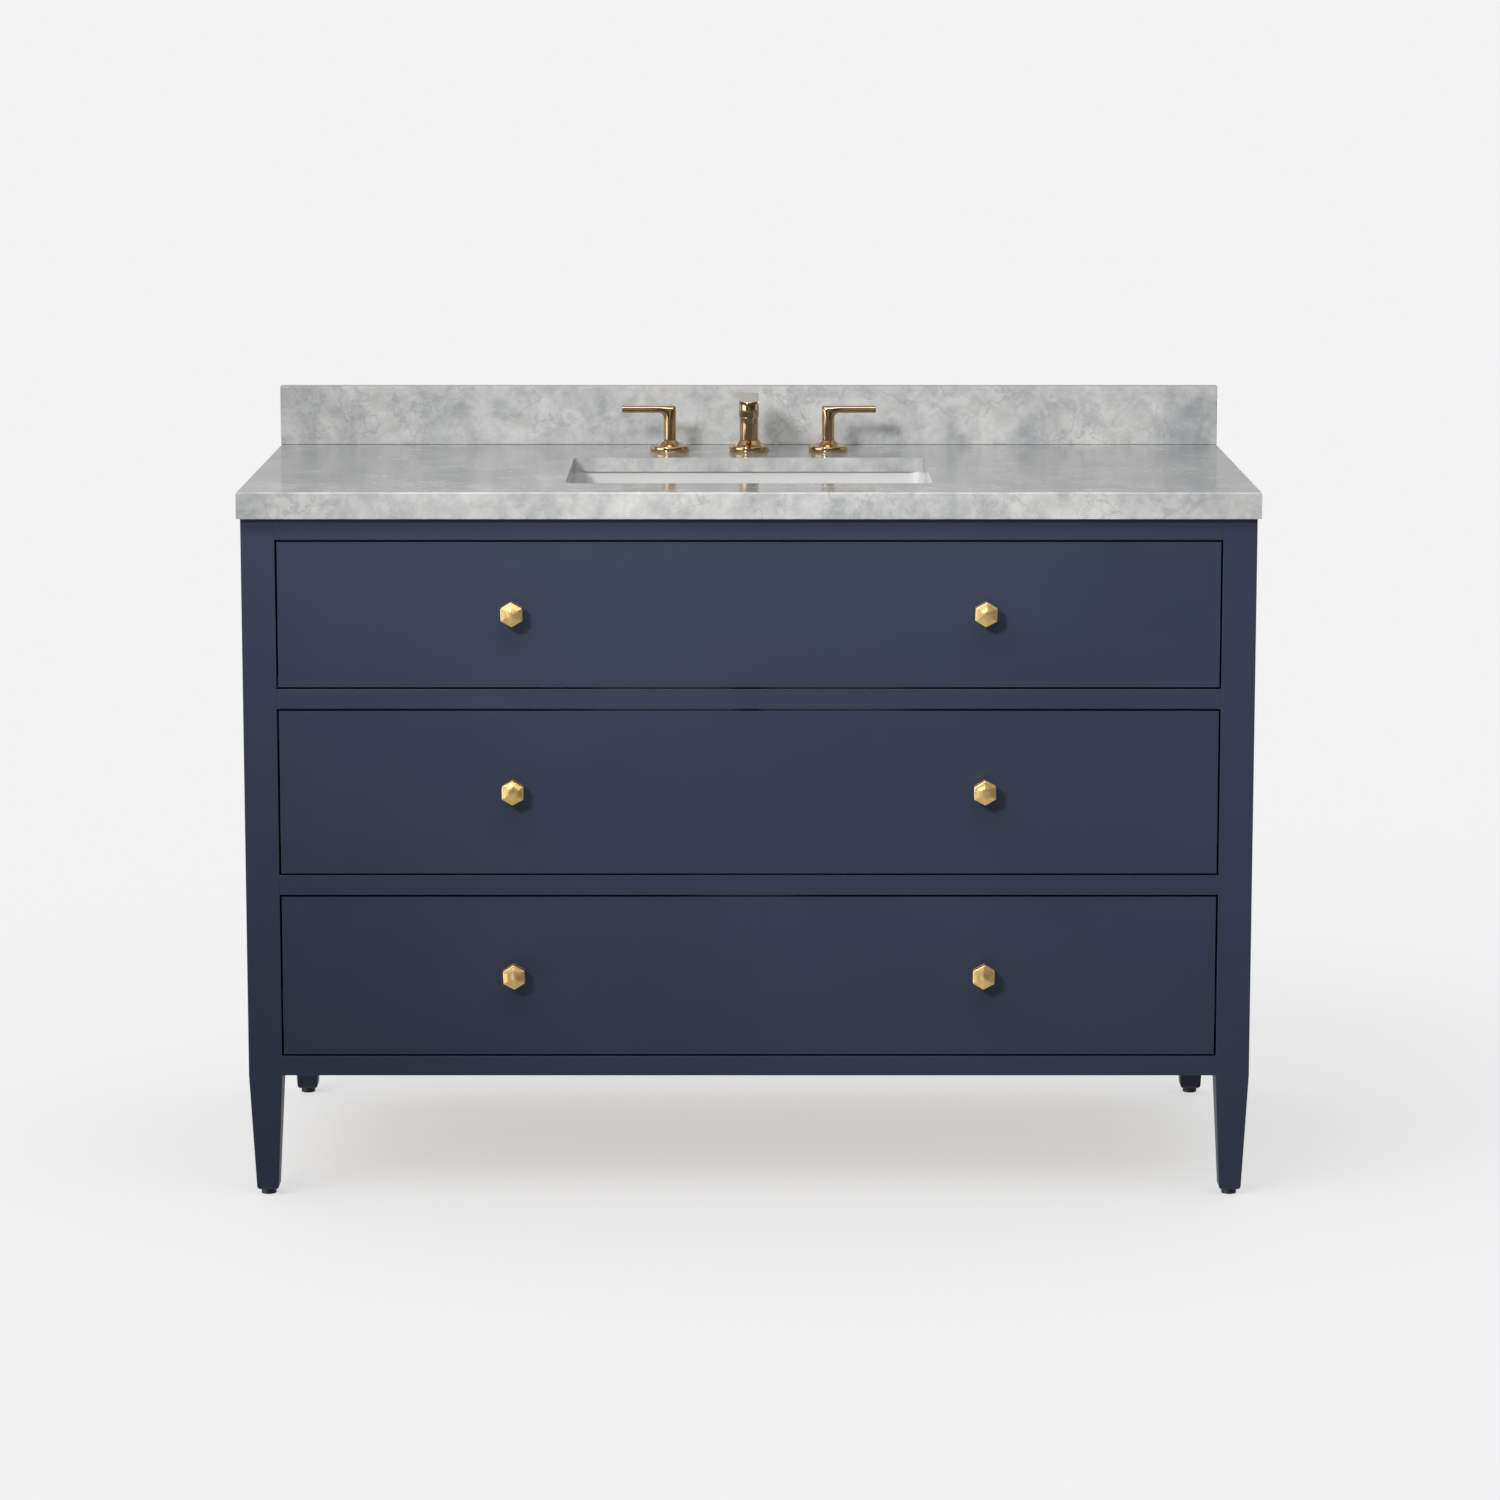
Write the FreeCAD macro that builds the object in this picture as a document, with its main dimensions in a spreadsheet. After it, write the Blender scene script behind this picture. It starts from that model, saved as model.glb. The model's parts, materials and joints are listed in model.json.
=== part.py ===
import FreeCAD, Part
import math
import os
import Sketcher

# Bathroom vanity cabinet: four-post carcass with three inset drawers on telescopic
# slides, stone top with an undermount basin, and a widespread three-piece faucet.
# Millimetres. X to the right, Z up, the drawer fronts face -Y. The origin is on the
# floor, in the middle of the overall footprint (knob tips to back edge of the top).

DRIVING = [
    # stone top
    ("counter_width", 1219.2),
    ("counter_depth", 558.8),
    ("counter_level", 863.6),
    ("edge_thick", 32),
    ("slab_thick", 18),
    ("edge_strip", 45),
    ("edge_ease", 2),
    ("splash_tall", 76.2),
    ("splash_thick", 20),
    ("back_line", 288),
    # carcass
    ("body_width", 1212),
    ("front_overhang", 12),
    ("post_size", 40.5),
    ("foot_size", 26),
    ("foot_round", 5),
    ("leg_tall", 151),
    ("glide_tall", 6),
    ("glide_radius", 9),
    ("rail_tall", 24),
    ("rail_thick", 20),
    ("bottom_bay", 199),
    ("middle_bay", 203),
    ("top_bay", 180),
    ("panel_thick", 16),
    ("panel_inset", 5),
    ("floor_thick", 12),
    ("rear_rail_tall", 100),
    ("rear_rail_thick", 18),
    ("rear_inset", 2),
    ("sill_tall", 50),
    ("back_thick", 6),
    ("service_width", 400),
    ("service_low", 430),
    ("service_high", 700),
    ("wall_screw_gap", 812.8),
    ("wall_screw_radius", 3),
    ("block_leg", 80),
    ("block_tall", 40),
    # drawers
    ("front_gap", 2.5),
    ("front_thick", 20),
    ("board_thick", 12),
    ("base_thick", 6),
    ("base_lift", 6),
    ("box_lift", 12),
    ("box_long", 450),
    ("top_box_tall", 120),
    ("low_box_tall", 150),
    ("sink_notch", 250),
    ("drain_notch", 60),
    ("drain_notch_front", 76.5),
    # slides
    ("slide_width", 12.7),
    ("slide_tall", 45),
    ("slide_lift", 45),
    ("slide_gauge", 1.2),
    ("slide_setback", 23),
    ("runner_ease", 7.5),
    ("carrier_ease", 3.5),
    # knobs
    ("knob_spread", 565),
    ("knob_rise", 3.5),
    ("knob_flats", 26),
    ("knob_reach", 29.2),
    ("knob_head", 15),
    ("knob_dome", 3),
    ("knob_stem_radius", 6.5),
    ("bolt_radius", 2),
    ("bolt_thread_gap", 0.05),
    ("bolt_hole_gap", 0.25),
    ("bolt_long", 26),
    ("bolt_head_radius", 4.5),
    ("bolt_head_thick", 2.4),
    # basin and waste
    ("cut_width", 444),
    ("cut_depth", 285),
    ("cut_radius", 14),
    ("cut_centre", -33.5),
    ("reveal", 3),
    ("bowl_wall", 10),
    ("bowl_flange", 15),
    ("bowl_deep", 135),
    ("bowl_corner", 26),
    ("bowl_draft", 7),
    ("bowl_fillet", 16),
    ("waste_hole", 22.5),
    ("waste_neck", 22),
    ("waste_bore", 17.5),
    ("waste_rim", 32),
    ("waste_rim_thick", 3),
    ("waste_neck_long", 62),
    ("waste_nut_radius", 33),
    ("waste_nut_tall", 16),
    ("tail_radius", 15.9),
    ("tail_bore", 14.6),
    ("tail_long", 150),
    ("tail_collar", 21),
    ("tail_collar_tall", 6),
    ("stem_radius", 4),
    ("stopper_radius", 30),
    ("stopper_thick", 4),
    ("stopper_gap", 0.5),
    ("clip_long", 22),
    ("clip_foot", 8),
    ("clip_hook", 9),
    ("clip_thick", 4),
    ("clip_station", 0.6),
    ("bridge_drop", 20),
    ("bridge_half", 6),
    ("bridge_thick", 4),
    ("bridge_bite", 2),
    ("stopper_stem_drop", 34),
    ("nut_step", 5),
    # faucet
    ("faucet_line", 184),
    ("handle_spread", 203.2),
    ("deck_hole", 17.5),
    ("rose_radius", 25),
    ("rose_rim", 7.4),
    ("rose_tall", 15.2),
    ("rose_hollow", 6),
    ("shank_radius", 10.4),
    ("shank_long", 66),
    ("supply_radius", 9.5),
    ("supply_long", 30),
    ("shank_bore_deep", 30),
    ("deck_nut_radius", 21),
    ("deck_nut_tall", 8),
    ("handle_tall", 59),
    ("handle_radius", 8),
    ("lever_reach", 61),
    ("lever_thick", 9),
    ("lever_wide", 12),
    ("lever_fillet", 6.5),
    ("spout_tall", 75),
    ("spout_radius", 12),
    ("spout_reach", 120),
    ("spout_thick", 19.5),
    ("spout_wide", 25),
    ("aerator_radius", 8.6),
    ("aerator_setback", 14),
    ("aerator_deep", 5),
    ("aerator_lip", 1.5),
    ("running_gap", 0.3),
    ("fit_gap", 0.1),
    ("deck_washer", 2),
    ("deck_step", 6),
    ("rose_chamfer", 0.6),
]

doc = FreeCAD.newDocument("vanity")
sheet = doc.addObject("Spreadsheet::Sheet", "Dims")
for row, (alias, number) in enumerate(DRIVING, start=1):
    sheet.set(f"A{row}", alias)
    sheet.set(f"B{row}", str(number))
    sheet.setAlias(f"B{row}", alias)
doc.recompute()


class Size:
    """A length that knows its number and the sheet expression it comes from."""

    def __init__(self, number, text):
        self.number = number
        self.text = text

    def __add__(self, other):
        other = as_size(other)
        return Size(self.number + other.number, f"({self.text} + {other.text})")

    def __sub__(self, other):
        other = as_size(other)
        return Size(self.number - other.number, f"({self.text} - {other.text})")

    def __mul__(self, factor):
        return Size(self.number * factor, f"({self.text} * {factor})")

    def __truediv__(self, divisor):
        return Size(self.number / divisor, f"({self.text} / {divisor})")

    def __neg__(self):
        return Size(-self.number, f"(0 - {self.text})")


def as_size(value):
    """Take a Size as it is and wrap a plain number."""
    if isinstance(value, Size):
        return value
    return Size(float(value), str(value))


def dim(alias):
    """The driving dimension with this alias."""
    return Size(float(sheet.get(alias)), f"Dims.{alias}")


def bind(obj, prop, value):
    """Bind one property of an object to the sheet."""
    obj.setExpression(prop, as_size(value).text)


def place(obj, x=0, y=0, z=0):
    """Bind an object's position to the sheet."""
    bind(obj, ".Placement.Base.x", x)
    bind(obj, ".Placement.Base.y", y)
    bind(obj, ".Placement.Base.z", z)


# ---------------------------------------------------------------- piece makers

NODES = []


def keep(obj):
    """Register an object as a finished sub-part."""
    NODES.append(obj)
    return obj


def box(label, x, y, z):
    """A rectangular board given by its low and high limits on each axis."""
    obj = doc.addObject("Part::Box", label)
    obj.Label = label
    for prop, (low, high) in zip(("Length", "Width", "Height"), (x, y, z)):
        bind(obj, prop, as_size(high) - low)
    place(obj, x[0], y[0], z[0])
    return obj


def cylinder(label, radius, height, x, y, z):
    """An upright cylinder standing on the level z."""
    obj = doc.addObject("Part::Cylinder", label)
    obj.Label = label
    bind(obj, "Radius", radius)
    bind(obj, "Height", height)
    place(obj, x, y, z)
    return obj


def cut(label, base, tools):
    """A base object with one or more others taken away."""
    for number, tool in enumerate(tools):
        last = number == len(tools) - 1
        name = label if last else f"{label}_step{number}"
        obj = doc.addObject("Part::Cut", name)
        obj.Label = name
        obj.Base = base
        obj.Tool = tool
        base = obj
    return base


def group(label, members):
    """Separate solids that share one node."""
    obj = doc.addObject("Part::Compound", label)
    obj.Label = label
    obj.Links = members
    return obj


def plane(body, role):
    """One of a body's own origin planes."""
    return next(item for item in body.Origin.OriginFeatures if item.Role == role)


def new_body(label):
    body = doc.addObject("PartDesign::Body", label)
    body.Label = label
    return body


def new_sketch(body, role, offset=0):
    """A sketch on one of the body's origin planes, lifted along its normal."""
    sketch = body.newObject("Sketcher::SketchObject", f"{body.Name}_sketch")
    sketch.AttachmentSupport = [(plane(body, role), "")]
    sketch.MapMode = "FlatFace"
    bind(sketch, ".AttachmentOffset.Base.z", offset)
    return sketch


def pin_point(sketch, geometry, vertex, point):
    """Hold one vertex at a point given from the sketch's origin."""
    for kind, value in zip(("DistanceX", "DistanceY"), point):
        value = as_size(value)
        row = sketch.addConstraint(Sketcher.Constraint(kind, -1, 1, geometry, vertex, value.number))
        sketch.setExpression(f"Constraints[{row}]", value.text)


def add_polygon(sketch, points):
    """A closed outline of straight edges."""
    points = [tuple(as_size(value) for value in point) for point in points]
    first = sketch.GeometryCount
    count = len(points)
    for number in range(count):
        start = points[number]
        end = points[(number + 1) % count]
        begin = FreeCAD.Vector(start[0].number, start[1].number, 0)
        finish = FreeCAD.Vector(end[0].number, end[1].number, 0)
        sketch.addGeometry(Part.LineSegment(begin, finish), False)
    for number in range(count):
        following = first + (number + 1) % count
        sketch.addConstraint(Sketcher.Constraint("Coincident", first + number, 2, following, 1))
        pin_point(sketch, first + number, 1, points[number])


def rectangle(x, y):
    """Corner points of a rectangle from its limits."""
    return [(x[0], y[0]), (x[1], y[0]), (x[1], y[1]), (x[0], y[1])]


def add_circle(sketch, radius, point):
    """A circle with a bound radius and centre."""
    radius = as_size(radius)
    centre = FreeCAD.Vector(as_size(point[0]).number, as_size(point[1]).number, 0)
    circle = Part.Circle(centre, FreeCAD.Vector(0, 0, 1), radius.number)
    geometry = sketch.addGeometry(circle, False)
    row = sketch.addConstraint(Sketcher.Constraint("Radius", geometry, radius.number))
    sketch.setExpression(f"Constraints[{row}]", radius.text)
    pin_point(sketch, geometry, 3, point)


def pad(body, sketch, length, reverse=False, draft=0):
    feature = body.newObject("PartDesign::Pad", f"{body.Name}_pad")
    feature.Profile = sketch
    feature.Reversed = reverse
    bind(feature, "Length", length)
    if draft:
        bind(feature, "TaperAngle", draft)
    return feature


def pocket(body, sketch, length=None, reverse=False, draft=0):
    """Cut a sketch into the body: to a depth, or right through both ways."""
    before = solid_volume(body)
    feature = body.newObject("PartDesign::Pocket", f"{body.Name}_pocket")
    feature.Profile = sketch
    feature.Reversed = reverse
    if length is None:
        feature.Type = "ThroughAll"
        feature.SideType = "Symmetric"
    else:
        bind(feature, "Length", length)
    if draft:
        bind(feature, "TaperAngle", draft)
    if solid_volume(body) >= before:
        raise ValueError(f"{body.Label}: the pocket removes nothing")
    return feature


def solid_volume(body):
    doc.recompute()
    return body.Shape.Volume


def edge_names(body, chosen):
    """Names of the body's present edges for which chosen(edge) holds."""
    doc.recompute()
    edges = body.Tip.Shape.Edges
    return [f"Edge{number}" for number, edge in enumerate(edges, start=1) if chosen(edge)]


def round_edges(body, chosen, radius):
    base = body.Tip
    names = edge_names(body, chosen)
    feature = body.newObject("PartDesign::Fillet", f"{body.Name}_round")
    feature.Base = (base, names)
    bind(feature, "Radius", radius)
    return feature


def prism(label, role, outlines, length, reverse=False):
    """One or more outlines on an origin plane, all padded to the same length."""
    body = new_body(label)
    sketch = new_sketch(body, role)
    for outline in outlines:
        add_polygon(sketch, outline)
    pad(body, sketch, length, reverse)
    return body


def lathe(label, outline):
    """A body turned about Z from an outline of (radius, height) points."""
    body = new_body(label)
    sketch = new_sketch(body, "XZ_Plane")
    add_polygon(sketch, outline)
    turned = body.newObject("PartDesign::Revolution", f"{label}_turn")
    turned.Profile = sketch
    turned.ReferenceAxis = (sketch, ["V_Axis"])
    turned.Angle = 360
    return body


# ---------------------------------------------------------------- shared lines

back_y = dim("back_line")
counter_top = dim("counter_level")
carcass_top = counter_top - dim("edge_thick")
slab_under = counter_top - dim("slab_thick")
counter_front = back_y - dim("counter_depth")
face_y = counter_front + dim("front_overhang")
body_half = dim("body_width") / 2
post = dim("post_size")
bay_half = body_half - post
leg_tall = dim("leg_tall")
rail_back = face_y + dim("rail_thick")
post_front_back = face_y + post
post_rear_front = back_y - post
rear_rail_back = back_y - dim("rear_inset")
rear_rail_front = rear_rail_back - dim("rear_rail_thick")

bottom_opening = leg_tall + dim("rail_tall")
middle_opening = bottom_opening + dim("bottom_bay") + dim("rail_tall")
top_opening = middle_opening + dim("middle_bay") + dim("rail_tall")
SIDES = (("left", -1), ("right", 1))


def span(side, near, far):
    """Limits on X of something between two distances from the centre line."""
    if side > 0:
        return (as_size(near), as_size(far))
    return (-as_size(far), -as_size(near))


# ---------------------------------------------------------------- carcass

def make_post(label, left_x, rear_y):
    """A square post that tapers on all four faces below the bottom rail."""
    inset = (post - dim("foot_size")) / 2
    foot = dim("glide_tall")
    body = new_body(label)
    front = new_sketch(body, "XZ_Plane")
    add_polygon(front, [
        (inset, foot),
        (post - inset, foot),
        (post, leg_tall),
        (post, carcass_top),
        (0, carcass_top),
        (0, leg_tall),
    ])
    pad(body, front, post)
    wedges = new_sketch(body, "YZ_Plane")
    add_polygon(wedges, [(-post, foot), (inset - post, foot), (-post, leg_tall)])
    add_polygon(wedges, [(0, foot), (0, leg_tall), (-inset, foot)])
    pocket(body, wedges)
    round_edges(body, lambda edge: edge.BoundBox.ZMax < foot.number + 0.01, dim("foot_round"))
    place(body, left_x, rear_y, 0)
    return body


for side_name, side in SIDES:
    low_x = span(side, bay_half, body_half)[0]
    keep(make_post(f"front_{side_name}_post", low_x, post_front_back))
    keep(make_post(f"rear_{side_name}_post", low_x, back_y))

glide_x = body_half - post / 2
keep(group("foot_glides", [
    cylinder(f"glide_{name}_{number}", dim("glide_radius"), dim("glide_tall"), glide_x * side, y, 0)
    for name, side in SIDES
    for number, y in enumerate((face_y + post / 2, back_y - post / 2))
]))

panel_outer = body_half - dim("panel_inset")
panel_inner = panel_outer - dim("panel_thick")
for side_name, side in SIDES:
    keep(box(
        f"{side_name}_side_panel",
        span(side, panel_inner, panel_outer),
        (post_front_back, post_rear_front),
        (leg_tall, carcass_top),
    ))

RAILS = [
    ("top_rail", top_opening + dim("top_bay"), carcass_top),
    ("upper_divider_rail", top_opening - dim("rail_tall"), top_opening),
    ("lower_divider_rail", middle_opening - dim("rail_tall"), middle_opening),
    ("bottom_rail", leg_tall, bottom_opening),
]
for label, low, high in RAILS:
    keep(box(label, (-bay_half, bay_half), (face_y, rail_back), (low, high)))

rear_rail_low = carcass_top - dim("rear_rail_tall")
rear_rail_blank = box(
    "rear_rail_blank",
    (-bay_half, bay_half),
    (rear_rail_front, rear_rail_back),
    (rear_rail_low, carcass_top),
)
wall_screw_holes = []
for side_name, side in SIDES:
    hole = cylinder(
        f"wall_screw_hole_{side_name}",
        dim("wall_screw_radius"),
        dim("rear_rail_thick") * 2,
        dim("wall_screw_gap") / 2 * side,
        back_y,
        rear_rail_low + dim("rear_rail_tall") / 2,
    )
    hole.Placement.Rotation = FreeCAD.Rotation(FreeCAD.Vector(1, 0, 0), 90)
    wall_screw_holes.append(hole)
keep(cut("rear_top_rail", rear_rail_blank, wall_screw_holes))

back_panel_front = rear_rail_back - dim("back_thick")
sill_front = back_panel_front - dim("rear_rail_thick")
keep(box(
    "rear_bottom_rail",
    (-bay_half, bay_half),
    (sill_front, back_panel_front),
    (leg_tall, leg_tall + dim("sill_tall")),
))

# The back panel has a service opening for the supply and waste pipes.
service_half = dim("service_width") / 2
back_panel = prism(
    "back_panel",
    "XZ_Plane",
    [
        rectangle((-bay_half, bay_half), (leg_tall, rear_rail_low)),
        rectangle((-service_half, service_half), (dim("service_low"), dim("service_high"))),
    ],
    dim("back_thick"),
)
place(back_panel, 0, rear_rail_back, 0)
keep(back_panel)

# The floor board is notched round the four posts.
floor_board = prism(
    "floor_panel",
    "XY_Plane",
    [[
        (-bay_half, rail_back),
        (bay_half, rail_back),
        (bay_half, post_front_back),
        (panel_inner, post_front_back),
        (panel_inner, post_rear_front),
        (bay_half, post_rear_front),
        (bay_half, sill_front),
        (-bay_half, sill_front),
        (-bay_half, post_rear_front),
        (-panel_inner, post_rear_front),
        (-panel_inner, post_front_back),
        (-bay_half, post_front_back),
    ]],
    dim("floor_thick"),
)
place(floor_board, 0, 0, leg_tall)
keep(floor_board)

block_outlines = []
for name, side in SIDES:
    for corner_y, inward in ((rail_back, 1), (rear_rail_front, -1)):
        block_outlines.append([
            (bay_half * side, corner_y),
            ((bay_half - dim("block_leg")) * side, corner_y),
            (bay_half * side, corner_y + dim("block_leg") * inward),
        ])
corner_blocks = prism("corner_blocks", "XY_Plane", block_outlines, dim("block_tall"))
place(corner_blocks, 0, 0, carcass_top - dim("block_tall"))
keep(corner_blocks)

# ---------------------------------------------------------------- slides

slide_half = dim("slide_tall") / 2
gauge = dim("slide_gauge")
slide_front = face_y + dim("slide_setback")
slide_back = slide_front + dim("box_long")
box_half = bay_half - dim("slide_width")
DRAWER_LEVELS = (
    ("top", top_opening, dim("top_bay"), dim("top_box_tall")),
    ("middle", middle_opening, dim("middle_bay"), dim("low_box_tall")),
    ("bottom", bottom_opening, dim("bottom_bay"), dim("low_box_tall")),
)


def slide_level(opening):
    return opening + dim("box_lift") + dim("slide_lift")


keep(group("slide_cleats", [
    box(
        f"{level_name}_cleat_{side_name}",
        span(side, bay_half, panel_inner),
        (post_front_back, post_rear_front),
        (slide_level(opening) - slide_half, slide_level(opening) + slide_half),
    )
    for level_name, opening, _, _ in DRAWER_LEVELS
    for side_name, side in SIDES
]))


def channel(web, tip, level, half_tall, side):
    """A C section: its web lies at one X, and its flanges reach to another."""
    web_inner = web - gauge if web.number > tip.number else web + gauge
    outline = [
        (web, level - half_tall),
        (tip, level - half_tall),
        (tip, level - half_tall + gauge),
        (web_inner, level - half_tall + gauge),
        (web_inner, level + half_tall - gauge),
        (tip, level + half_tall - gauge),
        (tip, level + half_tall),
        (web, level + half_tall),
    ]
    return [(x * side, z) for x, z in outline]


def channels(label, web, tip, half_tall, levels):
    """The same channel on both sides of the cabinet at the given levels."""
    outlines = [channel(web, tip, level, half_tall, side) for level in levels for _, side in SIDES]
    body = prism(label, "XZ_Plane", outlines, dim("box_long"))
    place(body, 0, slide_back, 0)
    return body


LEVELS = [slide_level(opening) for _, opening, _, _ in DRAWER_LEVELS]
keep(channels("slide_tracks", bay_half, box_half + gauge * 2, slide_half, LEVELS))

# ---------------------------------------------------------------- drawers

base_low = dim("box_lift") + dim("base_lift")


def knob(label, x, z):
    """A hexagonal knob with a domed head on a round stem."""
    body = new_body(label)
    flats = dim("knob_flats")
    corner = flats / math.sqrt(3)
    head = new_sketch(body, "XY_Plane", dim("knob_reach") - dim("knob_head"))
    add_polygon(head, [
        (corner * math.cos(math.radians(60 * turn)), corner * math.sin(math.radians(60 * turn)))
        for turn in range(6)
    ])
    pad(body, head, dim("knob_head"))
    dome = new_sketch(body, "XZ_Plane")
    add_polygon(dome, [
        (corner, dim("knob_reach")),
        (corner, dim("knob_reach") - dim("knob_dome")),
        (flats * 0.32, dim("knob_reach")),
    ])
    groove = body.newObject("PartDesign::Groove", f"{label}_dome")
    groove.Profile = dome
    groove.ReferenceAxis = (dome, ["V_Axis"])
    groove.Angle = 360
    stem = new_sketch(body, "XY_Plane")
    add_circle(stem, dim("knob_stem_radius"), (0, 0))
    pad(body, stem, dim("knob_reach") - dim("knob_head"))
    thread = new_sketch(body, "XY_Plane")
    add_circle(thread, dim("bolt_radius") + dim("bolt_thread_gap"), (0, 0))
    pocket(body, thread, dim("bolt_long") - dim("front_thick"), reverse=True)
    # The knob's own axis is turned to face forwards, with a corner at the top.
    turn_up = FreeCAD.Rotation(FreeCAD.Vector(1, 0, 0), 90)
    spin = FreeCAD.Rotation(FreeCAD.Vector(0, 0, 1), 30)
    body.Placement.Rotation = turn_up.multiply(spin)
    place(body, x, face_y, z)
    return body


def knob_bolt(label, x, z):
    """A machine screw from inside the drawer into the knob."""
    body = lathe(label, [
        (0, 0),
        (dim("bolt_head_radius"), 0),
        (dim("bolt_head_radius"), dim("bolt_head_thick")),
        (dim("bolt_radius"), dim("bolt_head_thick")),
        (dim("bolt_radius"), dim("bolt_head_thick") + dim("bolt_long")),
        (0, dim("bolt_head_thick") + dim("bolt_long")),
    ])
    body.Placement.Rotation = FreeCAD.Rotation(FreeCAD.Vector(1, 0, 0), 90)
    place(body, x, face_y + dim("front_thick") + dim("bolt_head_thick"), z)
    return body


def drawer_front(label, opening, opening_tall):
    """An inset slab front, drilled for its two knob screws."""
    middle = opening + opening_tall / 2 + dim("knob_rise")
    body = new_body(label)
    sketch = new_sketch(body, "XZ_Plane")
    gap = dim("front_gap")
    limits_z = (opening + gap, opening + opening_tall - gap)
    add_polygon(sketch, rectangle((gap - bay_half, bay_half - gap), limits_z))
    for _, side in SIDES:
        add_circle(sketch, dim("bolt_radius") + dim("bolt_hole_gap"), (dim("knob_spread") / 2 * side, middle))
    pad(body, sketch, dim("front_thick"))
    place(body, 0, face_y + dim("front_thick"), 0)
    return body


box_front = face_y + dim("front_thick")
box_back = box_front + dim("box_long")
side_inner = box_half - dim("board_thick")
back_inner = box_back - dim("board_thick")


def split_back(name, notch_wall, box_z):
    """A drawer's back board in two lengths, one either side of its notch."""
    return group(f"{name}_backs", [
        box(f"{name}_back_{side_name}", span(side, notch_wall, side_inner), (back_inner, box_back), box_z)
        for side_name, side in SIDES
    ])


for level_name, opening, opening_tall, box_tall in DRAWER_LEVELS:
    name = f"{level_name}_drawer"
    box_z = (opening + dim("box_lift"), opening + dim("box_lift") + box_tall)
    base_z = (opening + base_low, opening + base_low + dim("base_thick"))
    knob_z = opening + opening_tall / 2 + dim("knob_rise")
    knob_x = dim("knob_spread") / 2
    level = slide_level(opening)

    keep(drawer_front(f"{name}_front", opening, opening_tall))
    keep(group(f"{name}_knobs", [
        knob(f"{name}_knob_{side_name}", knob_x * side, knob_z) for side_name, side in SIDES
    ]))
    keep(group(f"{name}_knob_bolts", [
        knob_bolt(f"{name}_bolt_{side_name}", knob_x * side, knob_z) for side_name, side in SIDES
    ]))
    keep(group(f"{name}_sides", [
        box(f"{name}_side_{side_name}", span(side, side_inner, box_half), (box_front, box_back), box_z)
        for side_name, side in SIDES
    ]))
    keep(channels(
        f"{name}_slide_runners", box_half, bay_half - gauge * 4, slide_half - dim("runner_ease"), [level]
    ))
    keep(channels(
        f"{name}_slide_carriers",
        bay_half - gauge * 2,
        box_half + gauge * 2,
        slide_half - dim("carrier_ease"),
        [level],
    ))

    if level_name == "top":
        # Two compartments either side of the basin, joined by the drawer front.
        notch = dim("sink_notch")
        notch_wall = notch + dim("board_thick")
        keep(group(f"{name}_inner_sides", [
            box(f"{name}_inner_{side_name}", span(side, notch, notch_wall), (box_front, box_back), box_z)
            for side_name, side in SIDES
        ]))
        keep(group(f"{name}_bases", [
            box(
                f"{name}_base_{side_name}",
                span(side, notch_wall, side_inner),
                (box_front, back_inner),
                base_z,
            )
            for side_name, side in SIDES
        ]))
        keep(split_back(name, notch_wall, box_z))
    elif level_name == "middle":
        # A narrow notch, open at the back, lets the waste pipe pass.
        notch = dim("drain_notch")
        notch_wall = notch + dim("board_thick")
        notch_front = dim("cut_centre") - dim("drain_notch_front")
        walls = [
            box(f"{name}_notch_{side_name}", span(side, notch, notch_wall), (notch_front, box_back), box_z)
            for side_name, side in SIDES
        ]
        walls.append(box(
            f"{name}_notch_front",
            (-notch, notch),
            (notch_front, notch_front + dim("board_thick")),
            box_z,
        ))
        keep(group(f"{name}_notch_walls", walls))
        base = prism(
            f"{name}_base",
            "XY_Plane",
            [[
                (-side_inner, box_front),
                (side_inner, box_front),
                (side_inner, back_inner),
                (notch_wall, back_inner),
                (notch_wall, notch_front),
                (-notch_wall, notch_front),
                (-notch_wall, back_inner),
                (-side_inner, back_inner),
            ]],
            dim("base_thick"),
        )
        place(base, 0, 0, base_z[0])
        keep(base)
        keep(split_back(name, notch_wall, box_z))
    else:
        keep(box(f"{name}_base", (-side_inner, side_inner), (box_front, back_inner), base_z))
        keep(box(f"{name}_back", (-side_inner, side_inner), (back_inner, box_back), box_z))


# ---------------------------------------------------------------- stone top

def add_rounded_rectangle(sketch, half_x, half_y, radius, centre_y=0):
    """A rectangle with round corners, every tangent point held from the origin."""
    low_y = as_size(centre_y) - half_y
    high_y = as_size(centre_y) + half_y
    corners = [
        (half_x, high_y, -1, -1, 0),
        (-half_x, high_y, 1, -1, 90),
        (-half_x, low_y, 1, 1, 180),
        (half_x, low_y, -1, 1, 270),
    ]
    arcs = []
    for corner_x, corner_y, inward_x, inward_y, start in corners:
        centre = (corner_x + radius * inward_x, corner_y + radius * inward_y)
        circle = Part.Circle(
            FreeCAD.Vector(centre[0].number, centre[1].number, 0),
            FreeCAD.Vector(0, 0, 1),
            radius.number,
        )
        arc = Part.ArcOfCircle(circle, math.radians(start), math.radians(start + 90))
        arcs.append(sketch.addGeometry(arc, False))
        row = sketch.addConstraint(Sketcher.Constraint("Radius", arcs[-1], radius.number))
        sketch.setExpression(f"Constraints[{row}]", radius.text)
        pin_point(sketch, arcs[-1], 3, centre)
    for number, arc in enumerate(arcs):
        following = arcs[(number + 1) % 4]
        start = sketch.getPoint(arc, 2)
        end = sketch.getPoint(following, 1)
        line = sketch.addGeometry(Part.LineSegment(start, end), False)
        sketch.addConstraint(Sketcher.Constraint("Tangent", arc, 2, line, 1))
        sketch.addConstraint(Sketcher.Constraint("Tangent", line, 2, following, 1))


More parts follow.
